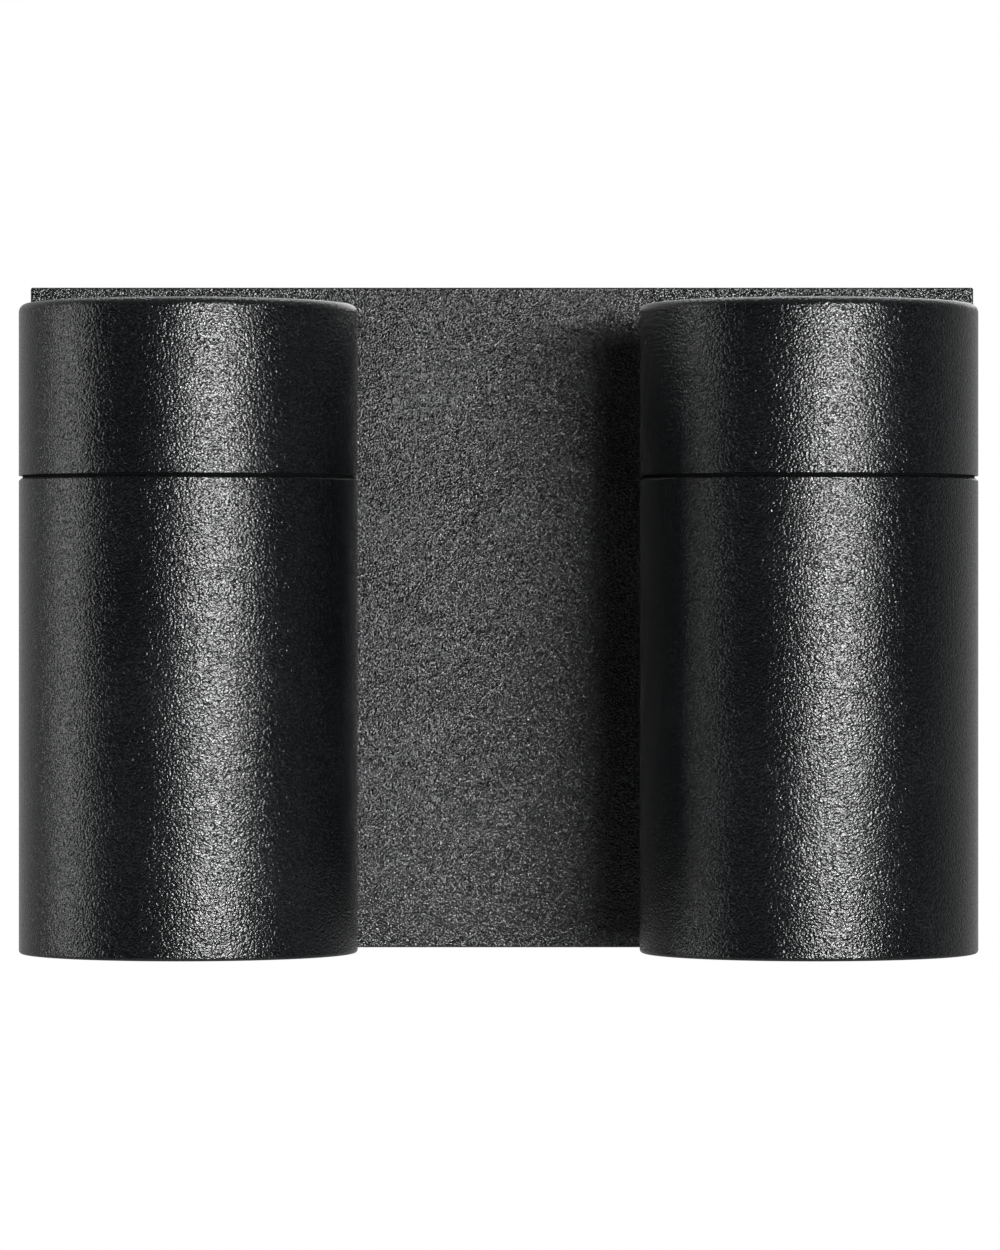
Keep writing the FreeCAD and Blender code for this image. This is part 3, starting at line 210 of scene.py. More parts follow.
# Moulded silicone seals: brick red, waxy and without a sharp highlight.
SILICONE_RED = moulded("moulded_red_brown_silicone", ("7d3322", "8f4230"), (0.45, 0.6), 0.5, 0.01)
# Extruded silicone on the hot side: cream white and slightly waxy.
SILICONE_LEAD = moulded("heat_resisting_white_insulation", ("c9c3b6", "dad5ca"), (0.45, 0.6),
                        0.4, 0.02)
# Pressed and fired ceramic: off-white, dry, with a very fine tooth.
STEATITE = moulded("fired_steatite_ceramic", ("d5d0c4", "e6e2d8"), (0.4, 0.55), 0.35, 0.02)
# Moulded lamp housing: clean white with a satin gloss that shows up every fin.
LAMP_WHITE = moulded("white_moulded_lamp_housing", ("d8d8d5", "e6e6e3"), (0.24, 0.36), 0.5, 0.006)


def green_yellow_insulation():
    """Extruded earth insulation, yellow with a green stripe down each side: the stripe follows the
    core round its bends."""
    made, tree, shader, place = material("extruded_green_and_yellow_insulation",
                                         {"IOR": 1.5, "Roughness": 0.38})
    around = add(tree, "ShaderNodeAttribute", {"attribute_name": "around"}).outputs["Fac"]
    grain = add(tree, "ShaderNodeTexNoise", {"Scale": per_mm(0.6), "Detail": 2.0},
                {"Vector": place})
    bump = add(tree, "ShaderNodeBump", {"Strength": 0.5, "Distance": 0.01 * MM},
               {"Height": grain.outputs["Fac"]})
    stripe = add(tree, "ShaderNodeValToRGB", {"stops": ((0.48, "d9c21a"), (0.54, "2f7d2c"))},
                 {"Fac": around})
    tree.links.new(stripe.outputs["Color"], shader.inputs["Base Color"])
    tree.links.new(bump.outputs["Normal"], shader.inputs["Normal"])
    return made


def clear(name, surface, film_mm, tones, rough):
    """A transparent plate with a thin uneven film on it, which dulls its reflections in places."""
    made, tree, shader, place = material(name, surface)
    film = add(tree, "ShaderNodeTexNoise", {"Scale": per_mm(film_mm), "Detail": 4.0},
               {"Vector": place}).outputs["Fac"]
    colour = add(tree, "ShaderNodeValToRGB", {"stops": ((0.3, tones[0]), (0.7, tones[1]))},
                 {"Fac": film})
    gloss = add(tree, "ShaderNodeMapRange", {**NOISE_SPAN, "To Min": rough[0], "To Max": rough[1]},
                {"Value": film})
    tree.links.new(colour.outputs["Color"], shader.inputs["Base Color"])
    tree.links.new(gloss.outputs["Result"], shader.inputs["Roughness"])
    return made


EARTH_PVC = green_yellow_insulation()
# Toughened soda-lime glass, float drawn: clear, faintly green in its depth, with a film of dust.
GLASS = clear("toughened_float_glass", {"Transmission Weight": 1.0, "IOR": 1.52}, 9,
              ("eef6f2", "f8fbfa"), (0.01, 0.07))
# Moulded polycarbonate lens plate: lightly frosted, so it lets light through but looks white.
LENS = clear("frosted_polycarbonate_lens", {"Transmission Weight": 0.55, "IOR": 1.58}, 3,
             ("e2e2de", "f1f1ee"), (0.12, 0.25))

FINISHES = {
    "wall_box_cover": BOX_COAT, "rear_gasket": FOAM, "mounting_bracket": ZINC,
    "cover_screws": BLACK_STEEL, "cable_grommet": EPDM, "terminal_block": POLYAMIDE,
    "terminal_screws": NICKEL_BRASS, "terminal_fixing_screws": ZINC,
    "supply_earth_screw": NICKEL_BRASS, "live_cores": BROWN_PVC, "neutral_cores": BLUE_PVC,
    "earth_cores": EARTH_PVC, "thrust_washers": POLYAMIDE, "swivel_base": HEAD_COAT,
    "swivel_nut": ZINC, "wave_washer": SPRING_STEEL, "swivel_seal": SILICONE_RED,
    "tilt_screw": BLACK_STEEL, "tilt_nut": ZINC, "tilt_washer": POLYAMIDE,
    "knuckle_cores": SILICONE_LEAD, "rear_cap": HEAD_COAT, "holder_plate": ZINC,
    "lampholder": STEATITE, "holder_screws": ZINC, "tube_seal": SILICONE_RED,
    "holder_leads": SILICONE_LEAD, "earth_lead": EARTH_PVC, "lamp_tube": HEAD_COAT,
    "tube_grub_screw": BLACK_STEEL, "glass_gasket": SILICONE_RED, "front_glass": GLASS,
    "retaining_ring": HEAD_COAT, "lamp_body": LAMP_WHITE, "lamp_lens": LENS,
    "lamp_pins": NICKEL_BRASS,
}
for name, node in NODES.items():
    plain_name = name.removeprefix("left_").removeprefix("right_")
    for held in node.material_slots:
        held.material = FINISHES[plain_name]


# ---- shapes built by rule: trees of Geometry Nodes ----------------------------------------------
def rule(name, sizes, draw):
    """A tree whose inputs are Geometry, the named sizes, Place, Turn and Finish. draw gets the tree
    and its inputs and returns the geometry, which is then placed, made real and finished."""
    tree = bpy.data.node_groups.new(name, "GeometryNodeTree")
    kinds = {"Geometry": "NodeSocketGeometry", "Finish": "NodeSocketMaterial",
             "Place": "NodeSocketVector", "Turn": "NodeSocketVector"}
    for size in ("Geometry", *sizes, "Place", "Turn", "Finish"):
        kind = kinds.get(size, "NodeSocketInt" if size in COUNTS else "NodeSocketFloat")
        tree.interface.new_socket(size, in_out="INPUT", socket_type=kind)
    tree.interface.new_socket("Geometry", in_out="OUTPUT", socket_type="NodeSocketGeometry")
    given = add(tree, "NodeGroupInput").outputs
    drawn = draw(tree, given)
    placed = add(tree, "GeometryNodeTransform", None,
                 {"Geometry": drawn, "Translation": given["Place"], "Rotation": given["Turn"]})
    real = add(tree, "GeometryNodeRealizeInstances", None, {"Geometry": placed.outputs[0]})
    done = add(tree, "GeometryNodeSetMaterial", None,
               {"Geometry": real.outputs[0], "Material": given["Finish"]})
    add(tree, "NodeGroupOutput", None, {0: done.outputs[0]})
    return tree


COUNTS = ("Count", "Waves", "Facets")


def core_by_rule(tree, given):
    """A round core or lead along each chain of edges, its corners rounded to Bend."""
    runs = add(tree, "GeometryNodeMeshToCurve", None, {"Mesh": given["Geometry"]})
    bent = add(tree, "GeometryNodeFilletCurve", {"mode": "POLY", "Count": 7, "Limit Radius": True},
               {"Curve": runs.outputs[0], "Radius": given["Bend"]})
    length = add(tree, "GeometryNodeSplineParameter").outputs["Length"]
    marked = add(tree, "GeometryNodeStoreNamedAttribute",
                 {"data_type": "FLOAT", "domain": "POINT", "Name": "along"},
                 {"Geometry": bent.outputs[0], "Value": length})
    section = add(tree, "GeometryNodeCurvePrimitiveCircle", {"Resolution": 16},
                  {"Radius": given["Radius"]})
    turn = add(tree, "GeometryNodeSplineParameter").outputs["Factor"]
    quarter = add(tree, "ShaderNodeMath", {"operation": "PINGPONG", 1: 0.25}, {0: turn})
    around = add(tree, "ShaderNodeMath", {"operation": "MULTIPLY", 1: 4.0}, {0: quarter.outputs[0]})
    striped = add(tree, "GeometryNodeStoreNamedAttribute",
                  {"data_type": "FLOAT", "domain": "POINT", "Name": "around"},
                  {"Geometry": section.outputs[0], "Value": around.outputs[0]})
    return add(tree, "GeometryNodeCurveToMesh", {"Fill Caps": True},
               {"Curve": marked.outputs[0], "Profile Curve": striped.outputs[0]}).outputs[0]


def thread_by_rule(tree, given):
    """One turned ridge of a screw thread about +Z, half sunk in the shaft or bore it stands on."""
    turns = add(tree, "ShaderNodeMath", {"operation": "DIVIDE"},
                {0: given["Length"], 1: given["Pitch"]})
    spiral = add(tree, "GeometryNodeCurveSpiral", {"Resolution": 48},
                 {"Rotations": turns.outputs[0], "Start Radius": given["Radius"],
                  "End Radius": given["Radius"], "Height": given["Length"]})
    steady = add(tree, "GeometryNodeSetCurveNormal", {"mode": "Z_UP"}, {"Curve": spiral.outputs[0]})
    section = add(tree, "GeometryNodeCurvePrimitiveCircle", {"Resolution": 4},
                  {"Radius": given["Ridge"]})
    return add(tree, "GeometryNodeCurveToMesh", {"Fill Caps": True},
               {"Curve": steady.outputs[0], "Profile Curve": section.outputs[0]}).outputs[0]


def wave_by_rule(tree, given):
    """A flat spring ring whose sheet rises and falls Waves times on its way round."""
    ring = add(tree, "GeometryNodeCurvePrimitiveCircle", {"Resolution": 96},
               {"Radius": given["Radius"]})
    sheet = add(tree, "GeometryNodeCurvePrimitiveQuadrilateral", None,
                {"Width": given["Width"], "Height": given["Sheet"]})
    flat = add(tree, "GeometryNodeCurveToMesh", None,
               {"Curve": ring.outputs[0], "Profile Curve": sheet.outputs[0]})
    spot = add(tree, "GeometryNodeInputPosition").outputs[0]
    at = add(tree, "ShaderNodeSeparateXYZ", None, {0: spot})
    angle = add(tree, "ShaderNodeMath", {"operation": "ARCTAN2"},
                {0: at.outputs["Y"], 1: at.outputs["X"]})
    phase = add(tree, "ShaderNodeMath", {"operation": "MULTIPLY"},
                {0: angle.outputs[0], 1: given["Waves"]})
    sine = add(tree, "ShaderNodeMath", {"operation": "SINE"}, {0: phase.outputs[0]})
    lift = add(tree, "ShaderNodeMath", {"operation": "MULTIPLY"},
               {0: sine.outputs[0], 1: given["Rise"]})
    offset = add(tree, "ShaderNodeCombineXYZ", None, {"Z": lift.outputs[0]})
    return add(tree, "GeometryNodeSetPosition", None,
               {"Geometry": flat.outputs[0], "Offset": offset.outputs[0]}).outputs[0]


def ring_of_by_rule(tree, given):
    """Count copies of the given shape, turned evenly about +Z."""
    spots = add(tree, "GeometryNodePoints", None, {"Count": given["Count"]})
    number = add(tree, "GeometryNodeInputIndex").outputs[0]
    step = add(tree, "ShaderNodeMath", {"operation": "DIVIDE", 0: 2 * math.pi}, {1: given["Count"]})
    angle = add(tree, "ShaderNodeMath", {"operation": "MULTIPLY"}, {0: number, 1: step.outputs[0]})
    turn = add(tree, "ShaderNodeCombineXYZ", None, {"Z": angle.outputs[0]})
    return add(tree, "GeometryNodeInstanceOnPoints", None,
               {"Points": spots.outputs[0], "Instance": given["Geometry"],
                "Rotation": turn.outputs[0]}).outputs[0]


def lenslets_by_rule(tree, given):
    """Low round lenslets in a hexagonal field, out to Reach, on the side that faces -Z."""
    spaces, row_share = 12, math.sqrt(0.75)
    grid = add(tree, "GeometryNodeMeshGrid", {"Vertices X": spaces + 1, "Vertices Y": spaces + 1})
    wide = add(tree, "ShaderNodeMath", {"operation": "MULTIPLY", 1: spaces}, {0: given["Pitch"]})
    deep = add(tree, "ShaderNodeMath", {"operation": "MULTIPLY", 1: spaces * row_share},
               {0: given["Pitch"]})
    tree.links.new(wide.outputs[0], grid.inputs["Size X"])
    tree.links.new(deep.outputs[0], grid.inputs["Size Y"])
    spot = add(tree, "GeometryNodeInputPosition").outputs[0]
    at = add(tree, "ShaderNodeSeparateXYZ", None, {0: spot})
    row_high = add(tree, "ShaderNodeMath", {"operation": "MULTIPLY", 1: row_share},
                   {0: given["Pitch"]})
    row = add(tree, "ShaderNodeMath", {"operation": "DIVIDE"},
              {0: at.outputs["Y"], 1: row_high.outputs[0]})
    whole = add(tree, "ShaderNodeMath", {"operation": "ROUND"}, {0: row.outputs[0]})
    odd = add(tree, "ShaderNodeMath", {"operation": "PINGPONG", 1: 1.0}, {0: whole.outputs[0]})
    half = add(tree, "ShaderNodeMath", {"operation": "MULTIPLY", 1: 0.5}, {0: odd.outputs[0]})
    slide = add(tree, "ShaderNodeMath", {"operation": "MULTIPLY"},
                {0: half.outputs[0], 1: given["Pitch"]})
    offset = add(tree, "ShaderNodeCombineXYZ", None, {"X": slide.outputs[0]})
    staggered = add(tree, "GeometryNodeSetPosition", None,
                    {"Geometry": grid.outputs[0], "Offset": offset.outputs[0]})
    far = add(tree, "ShaderNodeVectorMath", {"operation": "LENGTH"},
              {0: add(tree, "GeometryNodeInputPosition").outputs[0]})
    outside = add(tree, "FunctionNodeCompare", {"operation": "GREATER_THAN"},
                  {0: far.outputs["Value"], 1: given["Reach"]})
    kept = add(tree, "GeometryNodeDeleteGeometry", {"domain": "POINT"},
               {"Geometry": staggered.outputs[0], "Selection": outside.outputs[0]})
    dome = add(tree, "GeometryNodeMeshUVSphere", {"Segments": 16, "Rings": 8},
               {"Radius": given["Radius"]})
    low = add(tree, "GeometryNodeTransform", {"Scale": (1, 1, 0.32)}, {"Geometry": dome.outputs[0]})
    soft = add(tree, "GeometryNodeSetShadeSmooth", None, {"Geometry": low.outputs[0]})
    return add(tree, "GeometryNodeInstanceOnPoints", None,
               {"Points": kept.outputs[0], "Instance": soft.outputs[0]}).outputs[0]


CORE_RULE = rule("core_along_its_route", ("Radius", "Bend"), core_by_rule)
THREAD_RULE = rule("screw_thread", ("Radius", "Pitch", "Length", "Ridge"), thread_by_rule)
WAVE_RULE = rule("wave_spring_ring", ("Radius", "Width", "Sheet", "Rise", "Waves"), wave_by_rule)
FIN_RULE = rule("shapes_in_a_ring", ("Count",), ring_of_by_rule)
LENSLET_RULE = rule("field_of_lenslets", ("Pitch", "Radius", "Reach"), lenslets_by_rule)


def mesh_of(name, points, edges=(), faces=()):
    """A plain mesh from points in metres."""
    mesh = bpy.data.meshes.new(name)
    mesh.from_pydata([tuple(p) for p in points], edges, faces)
    return mesh


def follow(tree, name, start=None, finish=None, smooth=True, **sizes):
    """The plain mesh that a tree makes with these sizes, in mm where they are lengths."""
    start = start or mesh_of(name, [(0, 0, 0)])
    holder = bpy.data.objects.new(name, start)
    bpy.context.scene.collection.objects.link(holder)
    modifier = holder.modifiers.new(name, "NODES")
    modifier.node_group = tree
    values = {size.replace("_", " ").capitalize(): value for size, value in sizes.items()}
    values["Finish"] = finish
    for socket in tree.interface.items_tree:
        if socket.item_type == "SOCKET" and socket.in_out == "INPUT" and socket.name in values:
            value = values[socket.name]
            if socket.name not in ("Finish", "Turn", *COUNTS):
                value = [c * MM for c in value] if isinstance(value, (tuple, list)) else value * MM
            modifier[socket.identifier] = value
    bpy.context.view_layer.update()
    grown = holder.evaluated_get(bpy.context.evaluated_depsgraph_get())
    result = bpy.data.meshes.new_from_object(grown)
    bpy.data.objects.remove(holder)
    tidy(result, smooth)
    return result


def tidy(mesh, smooth=True):
    """Merges doubles, turns the faces outwards and shades the mesh."""
    work = bmesh.new()
    work.from_mesh(mesh)
    bmesh.ops.remove_doubles(work, verts=work.verts, dist=1e-7)
    bmesh.ops.recalc_face_normals(work, faces=work.faces)
    for face in work.faces:
        face.smooth = smooth
    work.to_mesh(mesh)
    work.free()


def piece(name, meshes, body, replaces=(), sharp=40):
    """One finished object from meshes that are already in place, riding its body."""
    work = bmesh.new()
    finishes = []
    for mesh in meshes:
        before = len(work.faces)
        work.from_mesh(mesh)
        work.faces.ensure_lookup_table()
        finish = mesh.materials[0]
        if finish not in finishes:
            finishes.append(finish)
        for face in work.faces[before:]:
            face.material_index = finishes.index(finish)
    whole = bpy.data.meshes.new(name)
    work.to_mesh(whole)
    work.free()
    for finish in finishes:
        whole.materials.append(finish)
    whole.set_sharp_from_angle(angle=math.radians(sharp))
    shape = bpy.data.objects.new(name, whole)
    bpy.context.scene.collection.objects.link(shape)
    if body:
        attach(shape, body)
    if replaces:
        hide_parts(*replaces)
    return shape


def turned(name, profile, centre, finish, steps=96):
    """A closed shape of revolution about +Z at centre, from (radius, height) corners in mm."""
    points, faces = [], []
    for r, z in profile:
        for i in range(steps if r else 1):
            a = 2 * math.pi * i / steps
            points.append(((centre[0] + r * math.cos(a)) * MM, (centre[1] + r * math.sin(a)) * MM,
                           (centre[2] + z) * MM))
    starts, total = [], 0
    for r, z in profile:
        starts.append(total)
        total += steps if r else 1
    for k in range(len(profile) - 1):
        for i in range(steps):
            j = (i + 1) % steps
            a = [starts[k] + i, starts[k] + j] if profile[k][0] else [starts[k]]
            b = [starts[k + 1] + j, starts[k + 1] + i] if profile[k + 1][0] else [starts[k + 1]]
            if len(a) + len(b) > 2:
                faces.append(a + b)
    mesh = mesh_of(name, points, (), faces)
    mesh.materials.append(finish)
    tidy(mesh)
    return mesh


# ---- sizes of the frame that the pieces follow, in mm -------------------------------------------
HEAD_X = 55.0
PIVOT_Y, PIVOT_Z = -35.9, 45.0
AXIS_Y = -74.4
BOX_FRONT, BOX_INSIDE, STEM_END = -22.0, -19.5, -12.0
CORE_R, CORE_GAP, CORE_BEND, TIGHT_BEND = 0.9, 0.1, 3.0, 1.5
CORE_LEVELS = (47.1, 45.0, 42.9)
TERMINAL_END = 35.5
POLES = {"live": -10, "neutral": 0, "earth": 10}
HOLDER_TOP, HOLDER_PLATE_TOP = 34.0, 35.2
LAMP_TOP, LAMP_CLEARANCE = 19.0, 0.08
FIN_COUNT, FIN_HALF = 30, 0.45
JOINT_IN, JOINT_OUT, JOINT_LOW, JOINT_HIGH = 29.02, 29.35, 24.55, 24.95


def routes_mesh(name, routes):
    """Chains of straight edges through each route's points, in mm."""
    points, edges = [], []
    for route in routes:
        first = len(points)
        points += [[c * MM for c in p] for p in route]
        edges += [(first + i, first + i + 1) for i in range(len(route) - 1)]
    return mesh_of(name, points, edges)


def cores(name, routes, finish, bend):
    """Round cores along the routes, with their corners rounded to bend."""
    return follow(CORE_RULE, name, routes_mesh(name, routes), finish, radius=CORE_R, bend=bend)


def box_cores(name, pole, levels, finish):
    """One pole's two cores, from its terminals across the box into each stem. The left and right
    cores run one behind the other where they leave the terminals."""
    routes = []
    for side, y, level in ((-1, -10.4, levels[0]), (1, -7.8, levels[1])):
        routes.append([(pole, y, TERMINAL_END), (pole, y, level), (side * HEAD_X, y, level),
                       (side * HEAD_X, BOX_FRONT + CORE_GAP, level)])
    piece(name + "_run", [cores(name, routes, finish, CORE_BEND)], "wall_unit", [name])


def knuckle_cores(side_name, side):
    """Three leads from the stem, round the tilt screw and into the head."""
    # Each lead's way over or under the screw, its rank where it comes out, and its x on the way.
    ways = ((1, 1, (-3.0, -1.4, -1.0)), (1, 0, (1.0, 1.4, 3.0)), (-1, 2, (-3.0, 0.0, 3.0)))
    routes = []
    for rank in range(3):
        way, out, lanes = ways[rank if side > 0 else 2 - rank]
        way, out = way * side, out if side > 0 else 2 - out
        level, level_out = CORE_LEVELS[rank], CORE_LEVELS[out]
        x = -side * 3.0
        route = [(0, BOX_FRONT, level), (0, BOX_FRONT - 1.2, level), (x, BOX_FRONT - 5.2, level),
                 (x, PIVOT_Y + 4.9, level),
                 (side * lanes[0], PIVOT_Y + 3.2, PIVOT_Z + way * 2.4),
                 (side * lanes[1], PIVOT_Y, PIVOT_Z + way * 4.6),
                 (side * lanes[2], PIVOT_Y - 3.2, PIVOT_Z + way * 2.4),
                 (side * 3.0, PIVOT_Y - 4.9, level_out),
                 (side * 3.0, PIVOT_Y - 7.0 + CORE_GAP, level_out)]
        routes.append([(side * HEAD_X + p[0], p[1], p[2]) for p in route])
    name = side_name + "_knuckle_cores"
    leads = cores(name, routes, SILICONE_LEAD, TIGHT_BEND)
    shape = piece(name + "_run", [leads], None, [name])
    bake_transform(shape)


def bevelled_block(name, low, high, bevel, finish):
    """A block between two corners in mm with softened edges."""
    work = bmesh.new()
    bmesh.ops.create_cube(work, size=1)
    for vert in work.verts:
        vert.co = Vector([(low[i] if vert.co[i] < 0 else high[i]) * MM for i in range(3)])
    bmesh.ops.bevel(work, geom=list(work.edges), offset=bevel * MM, segments=3, affect="EDGES",
                    profile=0.5)
    mesh = bpy.data.meshes.new(name)
    work.to_mesh(mesh)
    work.free()
    mesh.materials.append(finish)
    tidy(mesh)
    return mesh


def head_leads(side_name, side):
    """The lampholder's two leads, and the earth lead with its push-on receptacle."""
    at = side * HEAD_X
    levels = CORE_LEVELS[:2] if side > 0 else CORE_LEVELS[1:]
    earth_level = CORE_LEVELS[2] if side > 0 else CORE_LEVELS[0]
    x, routes = at + side * 3.0, []
    for rank, level in enumerate(levels):
        turn_y, low = AXIS_Y + 17.5 + 2.3 * rank, HOLDER_TOP - 3.9 - 2.9 * rank
        routes.append([(x, PIVOT_Y - 7, level), (x, turn_y, level), (x, turn_y, low),
                       (x, AXIS_Y + 12, low)])
    name = side_name + "_holder_leads"
    leads = cores(name, routes, SILICONE_LEAD, CORE_BEND)
    piece(name + "_run", [leads], side_name + "_head", [name])
    name = side_name + "_earth_lead"
    end_y = AXIS_Y + 9.5
    route = [(x, PIVOT_Y - 7, earth_level), (x, AXIS_Y + 23.6, earth_level),
             (at + side * 9, AXIS_Y + 21, earth_level),
             (at + side * 13, AXIS_Y + 16, HOLDER_PLATE_TOP + 4),
             (at + side * 13, end_y, HOLDER_PLATE_TOP + 1.8)]
    low_x, high_x = sorted((at + side * 10, at + side * 16))
    sleeve = bevelled_block(name, (low_x, end_y - 7.4, HOLDER_PLATE_TOP + 0.05),
                            (high_x, end_y, HOLDER_PLATE_TOP + 3.3), 0.6, POLYAMIDE)
    piece(name + "_run", [cores(name, [route], EARTH_PVC, CORE_BEND), sleeve], side_name + "_head",
          [name])


def wave_washer(side_name, side):
    """The spring ring behind the stem's nut, waved three times round."""
    back = BOX_INSIDE + 1.0
    mesh = follow(WAVE_RULE, "wave", None, SPRING_STEEL, radius=6.55, width=2.8, sheet=0.5,
                  rise=0.38, waves=3, place=(side * HEAD_X, back + 0.73, PIVOT_Z),
                  turn=(math.radians(90), 0, 0))
    piece(side_name + "_wave_spring", [mesh], side_name + "_swivel",
          [side_name + "_wave_washer"])


def threads(side_name, side):
    """The stem's thread, the ring's thread in the tube's mouth and the cover screw's thread."""
    stem = follow(THREAD_RULE, "stem_thread", None, HEAD_COAT, radius=4.86, pitch=1.0, length=6.4,
                  ridge=0.3, place=(side * HEAD_X, STEM_END - 0.35, PIVOT_Z),
                  turn=(math.radians(90), 0, 0))
    piece(side_name + "_stem_thread", [stem], side_name + "_swivel")
    mouth = follow(THREAD_RULE, "mouth_thread", None, HEAD_COAT, radius=27.55, pitch=1.5,
                   length=7.6, ridge=0.42, place=(side * HEAD_X, AXIS_Y, -58.0), turn=(0, 0, 0))
    piece(side_name + "_mouth_thread", [mouth], side_name + "_tube")
    screw = follow(THREAD_RULE, "cover_screw_thread", None, BLACK_STEEL, radius=1.85, pitch=0.7,
                   length=5.4, ridge=0.2, place=(side * 85.2, -10, 0),
                   turn=(0, math.radians(-90 * side), 0))
    piece(side_name + "_cover_screw_thread", [screw], "wall_unit")


def painted_shade_joint_ring(side_name, side):
    """A thin, almost black ring that fills the open joint between the cap and the tube: painted
    shade, a dark piece set where the joint lies in shadow.
    """
    section = [(JOINT_IN, JOINT_LOW), (JOINT_OUT, JOINT_LOW), (JOINT_OUT, JOINT_HIGH),
               (JOINT_IN, JOINT_HIGH), (JOINT_IN, JOINT_LOW)]
    ring = turned("painted_shade_joint_ring", section, (side * HEAD_X, AXIS_Y, 0), JOINT_PAINTED_SHADE)
    piece(side_name + "_painted_shade_joint_ring", [ring], side_name + "_head")


def lamp(side_name, side):
    """The reflector lamp: a finned housing, a rim, and a lens with a field of lenslets."""
    centre = (side * HEAD_X, AXIS_Y, 0)
    base = LAMP_TOP - LAMP_CLEARANCE
    shell = turned("lamp_shell", [
        (0, base), (9.4, base), (9.8, LAMP_TOP - 0.5), (9.8, 11.2), (10.2, 10.4), (12.6, 9.6),
        (13.4, 8.8), (14.6, 2.0), (15.9, -4.0), (17.8, -11.0), (20.4, -18.0), (22.2, -22.5),
        (24.2, -23.6), (24.8, -24.8), (24.9, -33.2), (24.4, -33.9), (23.0, -33.9), (22.6, -33.5),
        (22.6, -31.0), (0, -31.0)], centre, LAMP_WHITE)
    # A fin's outer edge from its top down to the rim, and its inner edge back up inside the shell.
    outer = [(13.2, 8.0), (14.9, 4.0), (16.6, -1.5), (18.2, -7.0), (20.2, -13.0), (22.4, -19.0),
             (23.9, -23.2)]
    inner = [(21.6, -22.6), (19.6, -17.0), (17.2, -10.5), (15.2, -3.5), (14.0, 2.5), (12.9, 7.8)]
    outline = outer + inner
    points = [(r * MM, s * FIN_HALF * MM, z * MM) for s in (-1, 1) for r, z in outline]
    n = len(outline)
    faces = [list(range(n)), list(range(2 * n - 1, n - 1, -1))]
    faces += [[i, n + i, n + (i + 1) % n, (i + 1) % n] for i in range(n)]
    fins = follow(FIN_RULE, "lamp_fins", mesh_of("lamp_fin", points, (), faces), LAMP_WHITE,
                  smooth=False, count=FIN_COUNT, place=centre, turn=(0, 0, 0))
    piece(side_name + "_lamp_housing", [shell, fins], side_name + "_lamp",
          [side_name + "_lamp_body"])
    plate = turned("lens_plate", [(0, -31.1), (22.3, -31.1), (22.3, -32.2), (21.9, -32.5),
                                  (0, -32.5)], centre, LENS)
    domes = follow(LENSLET_RULE, "lenslets", None, LENS, pitch=3.5, radius=1.85, reach=19.8,
                   place=(centre[0], centre[1], -32.55), turn=(0, 0, 0))
    piece(side_name + "_lamp_front", [plate, domes], side_name + "_lamp",
          [side_name + "_lamp_lens"])


box_cores("live_cores", POLES["live"], (CORE_LEVELS[2], CORE_LEVELS[0]), BROWN_PVC)
box_cores("neutral_cores", POLES["neutral"], (CORE_LEVELS[1], CORE_LEVELS[1]), BLUE_PVC)
box_cores("earth_cores", POLES["earth"], (CORE_LEVELS[0], CORE_LEVELS[2]), EARTH_PVC)
for side_name, side in SIDES.items():
    knuckle_cores(side_name, side)
    head_leads(side_name, side)
    wave_washer(side_name, side)
    threads(side_name, side)
    painted_shade_joint_ring(side_name, side)
    lamp(side_name, side)


# ---- camera, floor and lights -------------------------------------------------------------------
def camera():
    """A long lens in front, level with the part's middle."""
    lens = bpy.data.cameras.new("camera")
    lens.lens = 181.5
    lens.sensor_width = 36
    lens.shift_x = -0.0576
    lens.clip_end = 50
    seat = bpy.data.objects.new("camera", lens)
    bpy.context.scene.collection.objects.link(seat)
    seat.location = (0.013, -1.192, -0.0014)
    seat.rotation_euler = (math.radians(90), 0, 0)
    bpy.context.scene.camera = seat


def softbox(name, azimuth, elevation, distance, width, height, watts, target=(0, -0.05, 0)):
    """A rectangular soft light; azimuth 0 is in front, positive to the right, angles in degrees."""
    lamp = bpy.data.lights.new(name, "AREA")
    lamp.shape, lamp.size, lamp.size_y, lamp.energy = "RECTANGLE", width, height, watts
    seat = bpy.data.objects.new(name, lamp)
    bpy.context.scene.collection.objects.link(seat)
    turn, lift = math.radians(azimuth), math.radians(elevation)
    way = Vector((math.sin(turn) * math.cos(lift), -math.cos(turn) * math.cos(lift),
                  math.sin(lift)))
    seat.location = Vector(target) + way * distance
    seat.rotation_euler = (-way).to_track_quat("-Z", "Y").to_euler()


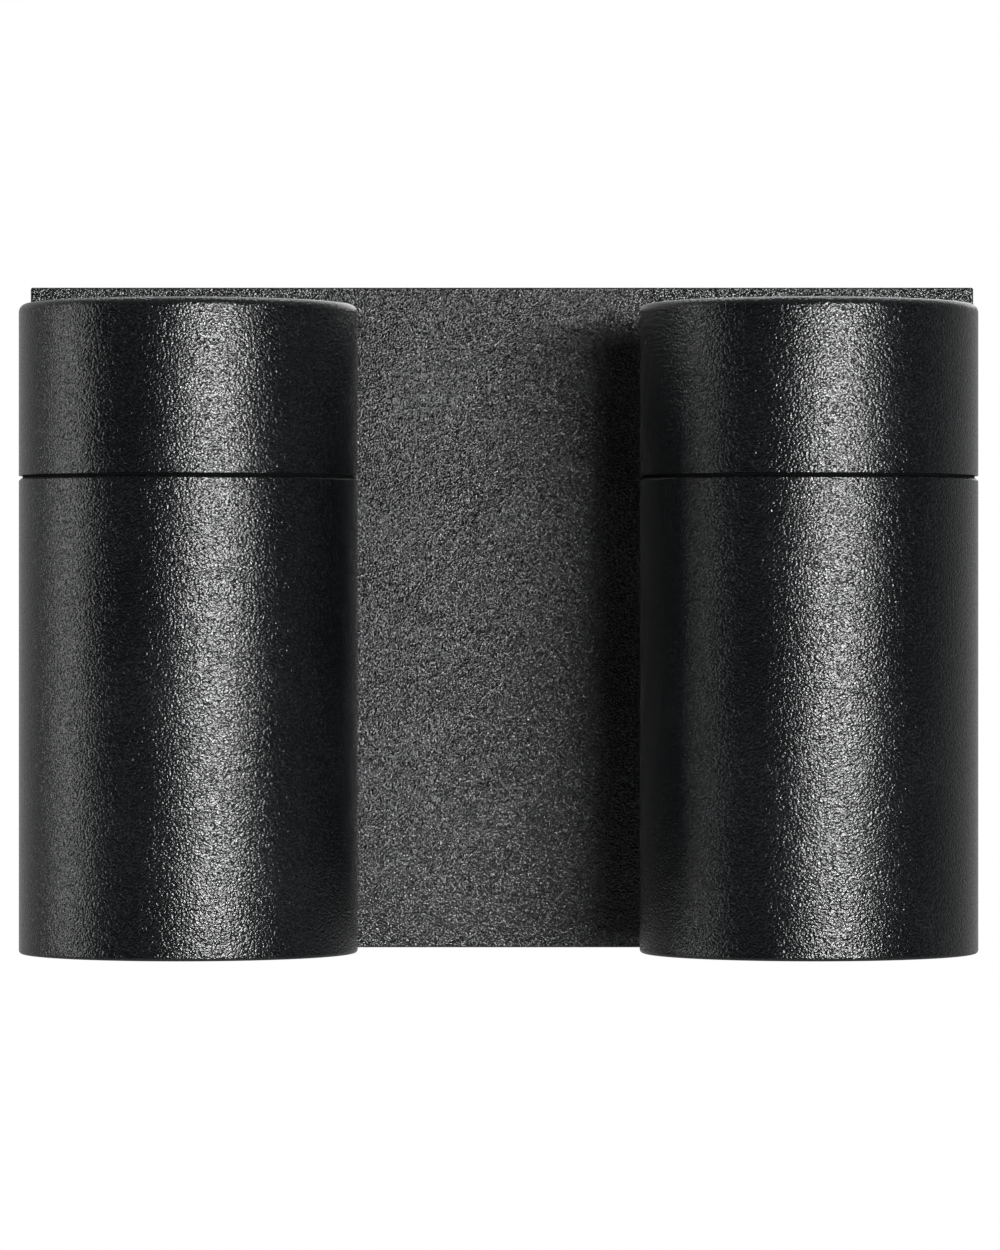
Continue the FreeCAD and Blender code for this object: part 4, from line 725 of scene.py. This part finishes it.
def surroundings():
    """White to the eye; for light, dim in front and brighter behind and above."""
    world = bpy.data.worlds.new("studio")
    bpy.context.scene.world = world
    world.use_nodes = True
    tree = world.node_tree
    tree.nodes.clear()
    way = add(tree, "ShaderNodeTexCoord").outputs["Generated"]
    parts = add(tree, "ShaderNodeSeparateXYZ", None, {0: way})
    behind = add(tree, "ShaderNodeMapRange",
                 {"From Min": -0.2, "From Max": 0.9, "To Min": 0.004, "To Max": 0.45},
                 {"Value": parts.outputs["Y"]})
    above = add(tree, "ShaderNodeMapRange",
                {"From Min": 0.3, "From Max": 1.0, "To Min": 0.0, "To Max": 0.35},
                {"Value": parts.outputs["Z"]})
    both = add(tree, "ShaderNodeMath", {"operation": "ADD"},
               {0: behind.outputs[0], 1: above.outputs[0]})
    fill = add(tree, "ShaderNodeBackground", {"Color": (1, 1, 1, 1)}, {"Strength": both.outputs[0]})
    white = add(tree, "ShaderNodeBackground", {"Color": (1, 1, 1, 1), "Strength": 1.0})
    seen = add(tree, "ShaderNodeLightPath").outputs["Is Camera Ray"]
    mixed = add(tree, "ShaderNodeMixShader", None,
                {0: seen, 1: fill.outputs[0], 2: white.outputs[0]})
    add(tree, "ShaderNodeOutputWorld", None, {"Surface": mixed.outputs[0]})


def floor():
    """A pale floor well below the part, which hangs on a wall; nearly white to the eye."""
    half, z = 12.0, -2.4
    corners = [(-half, -half, z), (half, -half, z), (half, half, z), (-half, half, z)]
    mesh = mesh_of("floor", corners, (), [(0, 1, 2, 3)])
    sheet = bpy.data.objects.new("floor", mesh)
    bpy.context.scene.collection.objects.link(sheet)
    # Rolled floor paint: matt and even, so it only lifts the light from below.
    made, tree, shader, place = material("pale_matt_floor_paint",
                                         {"Base Color": linear("efefed"), "Roughness": 0.9})
    glow = add(tree, "ShaderNodeEmission", {"Color": linear("fcfcfb"), "Strength": 1.0})
    seen = add(tree, "ShaderNodeLightPath").outputs["Is Camera Ray"]
    share = add(tree, "ShaderNodeMath", {"operation": "MULTIPLY", 1: 0.93}, {0: seen})
    pale = add(tree, "ShaderNodeMixShader", None,
               {0: share.outputs[0], 1: shader.outputs["BSDF"], 2: glow.outputs[0]})
    tree.links.new(pale.outputs[0], tree.nodes["Material Output"].inputs["Surface"])
    mesh.materials.append(made)


camera()
surroundings()
floor()
softbox("key", 19, 2.5, 1.6, 0.74, 0.4, 11)
softbox("key_centre", 19, 2.8, 1.58, 0.6, 0.12, 16.5)
softbox("left_strip", -84, 4, 0.9, 0.14, 0.7, 2.0)
softbox("top", 180, 62, 1.1, 0.9, 0.4, 4)
softbox("back", 165, 22, 1.8, 1.0, 0.8, 3.5)
softbox("under", 0, -70, 1.5, 1.4, 1.2, 1.2)
bpy.context.scene.view_settings.view_transform = "Standard"
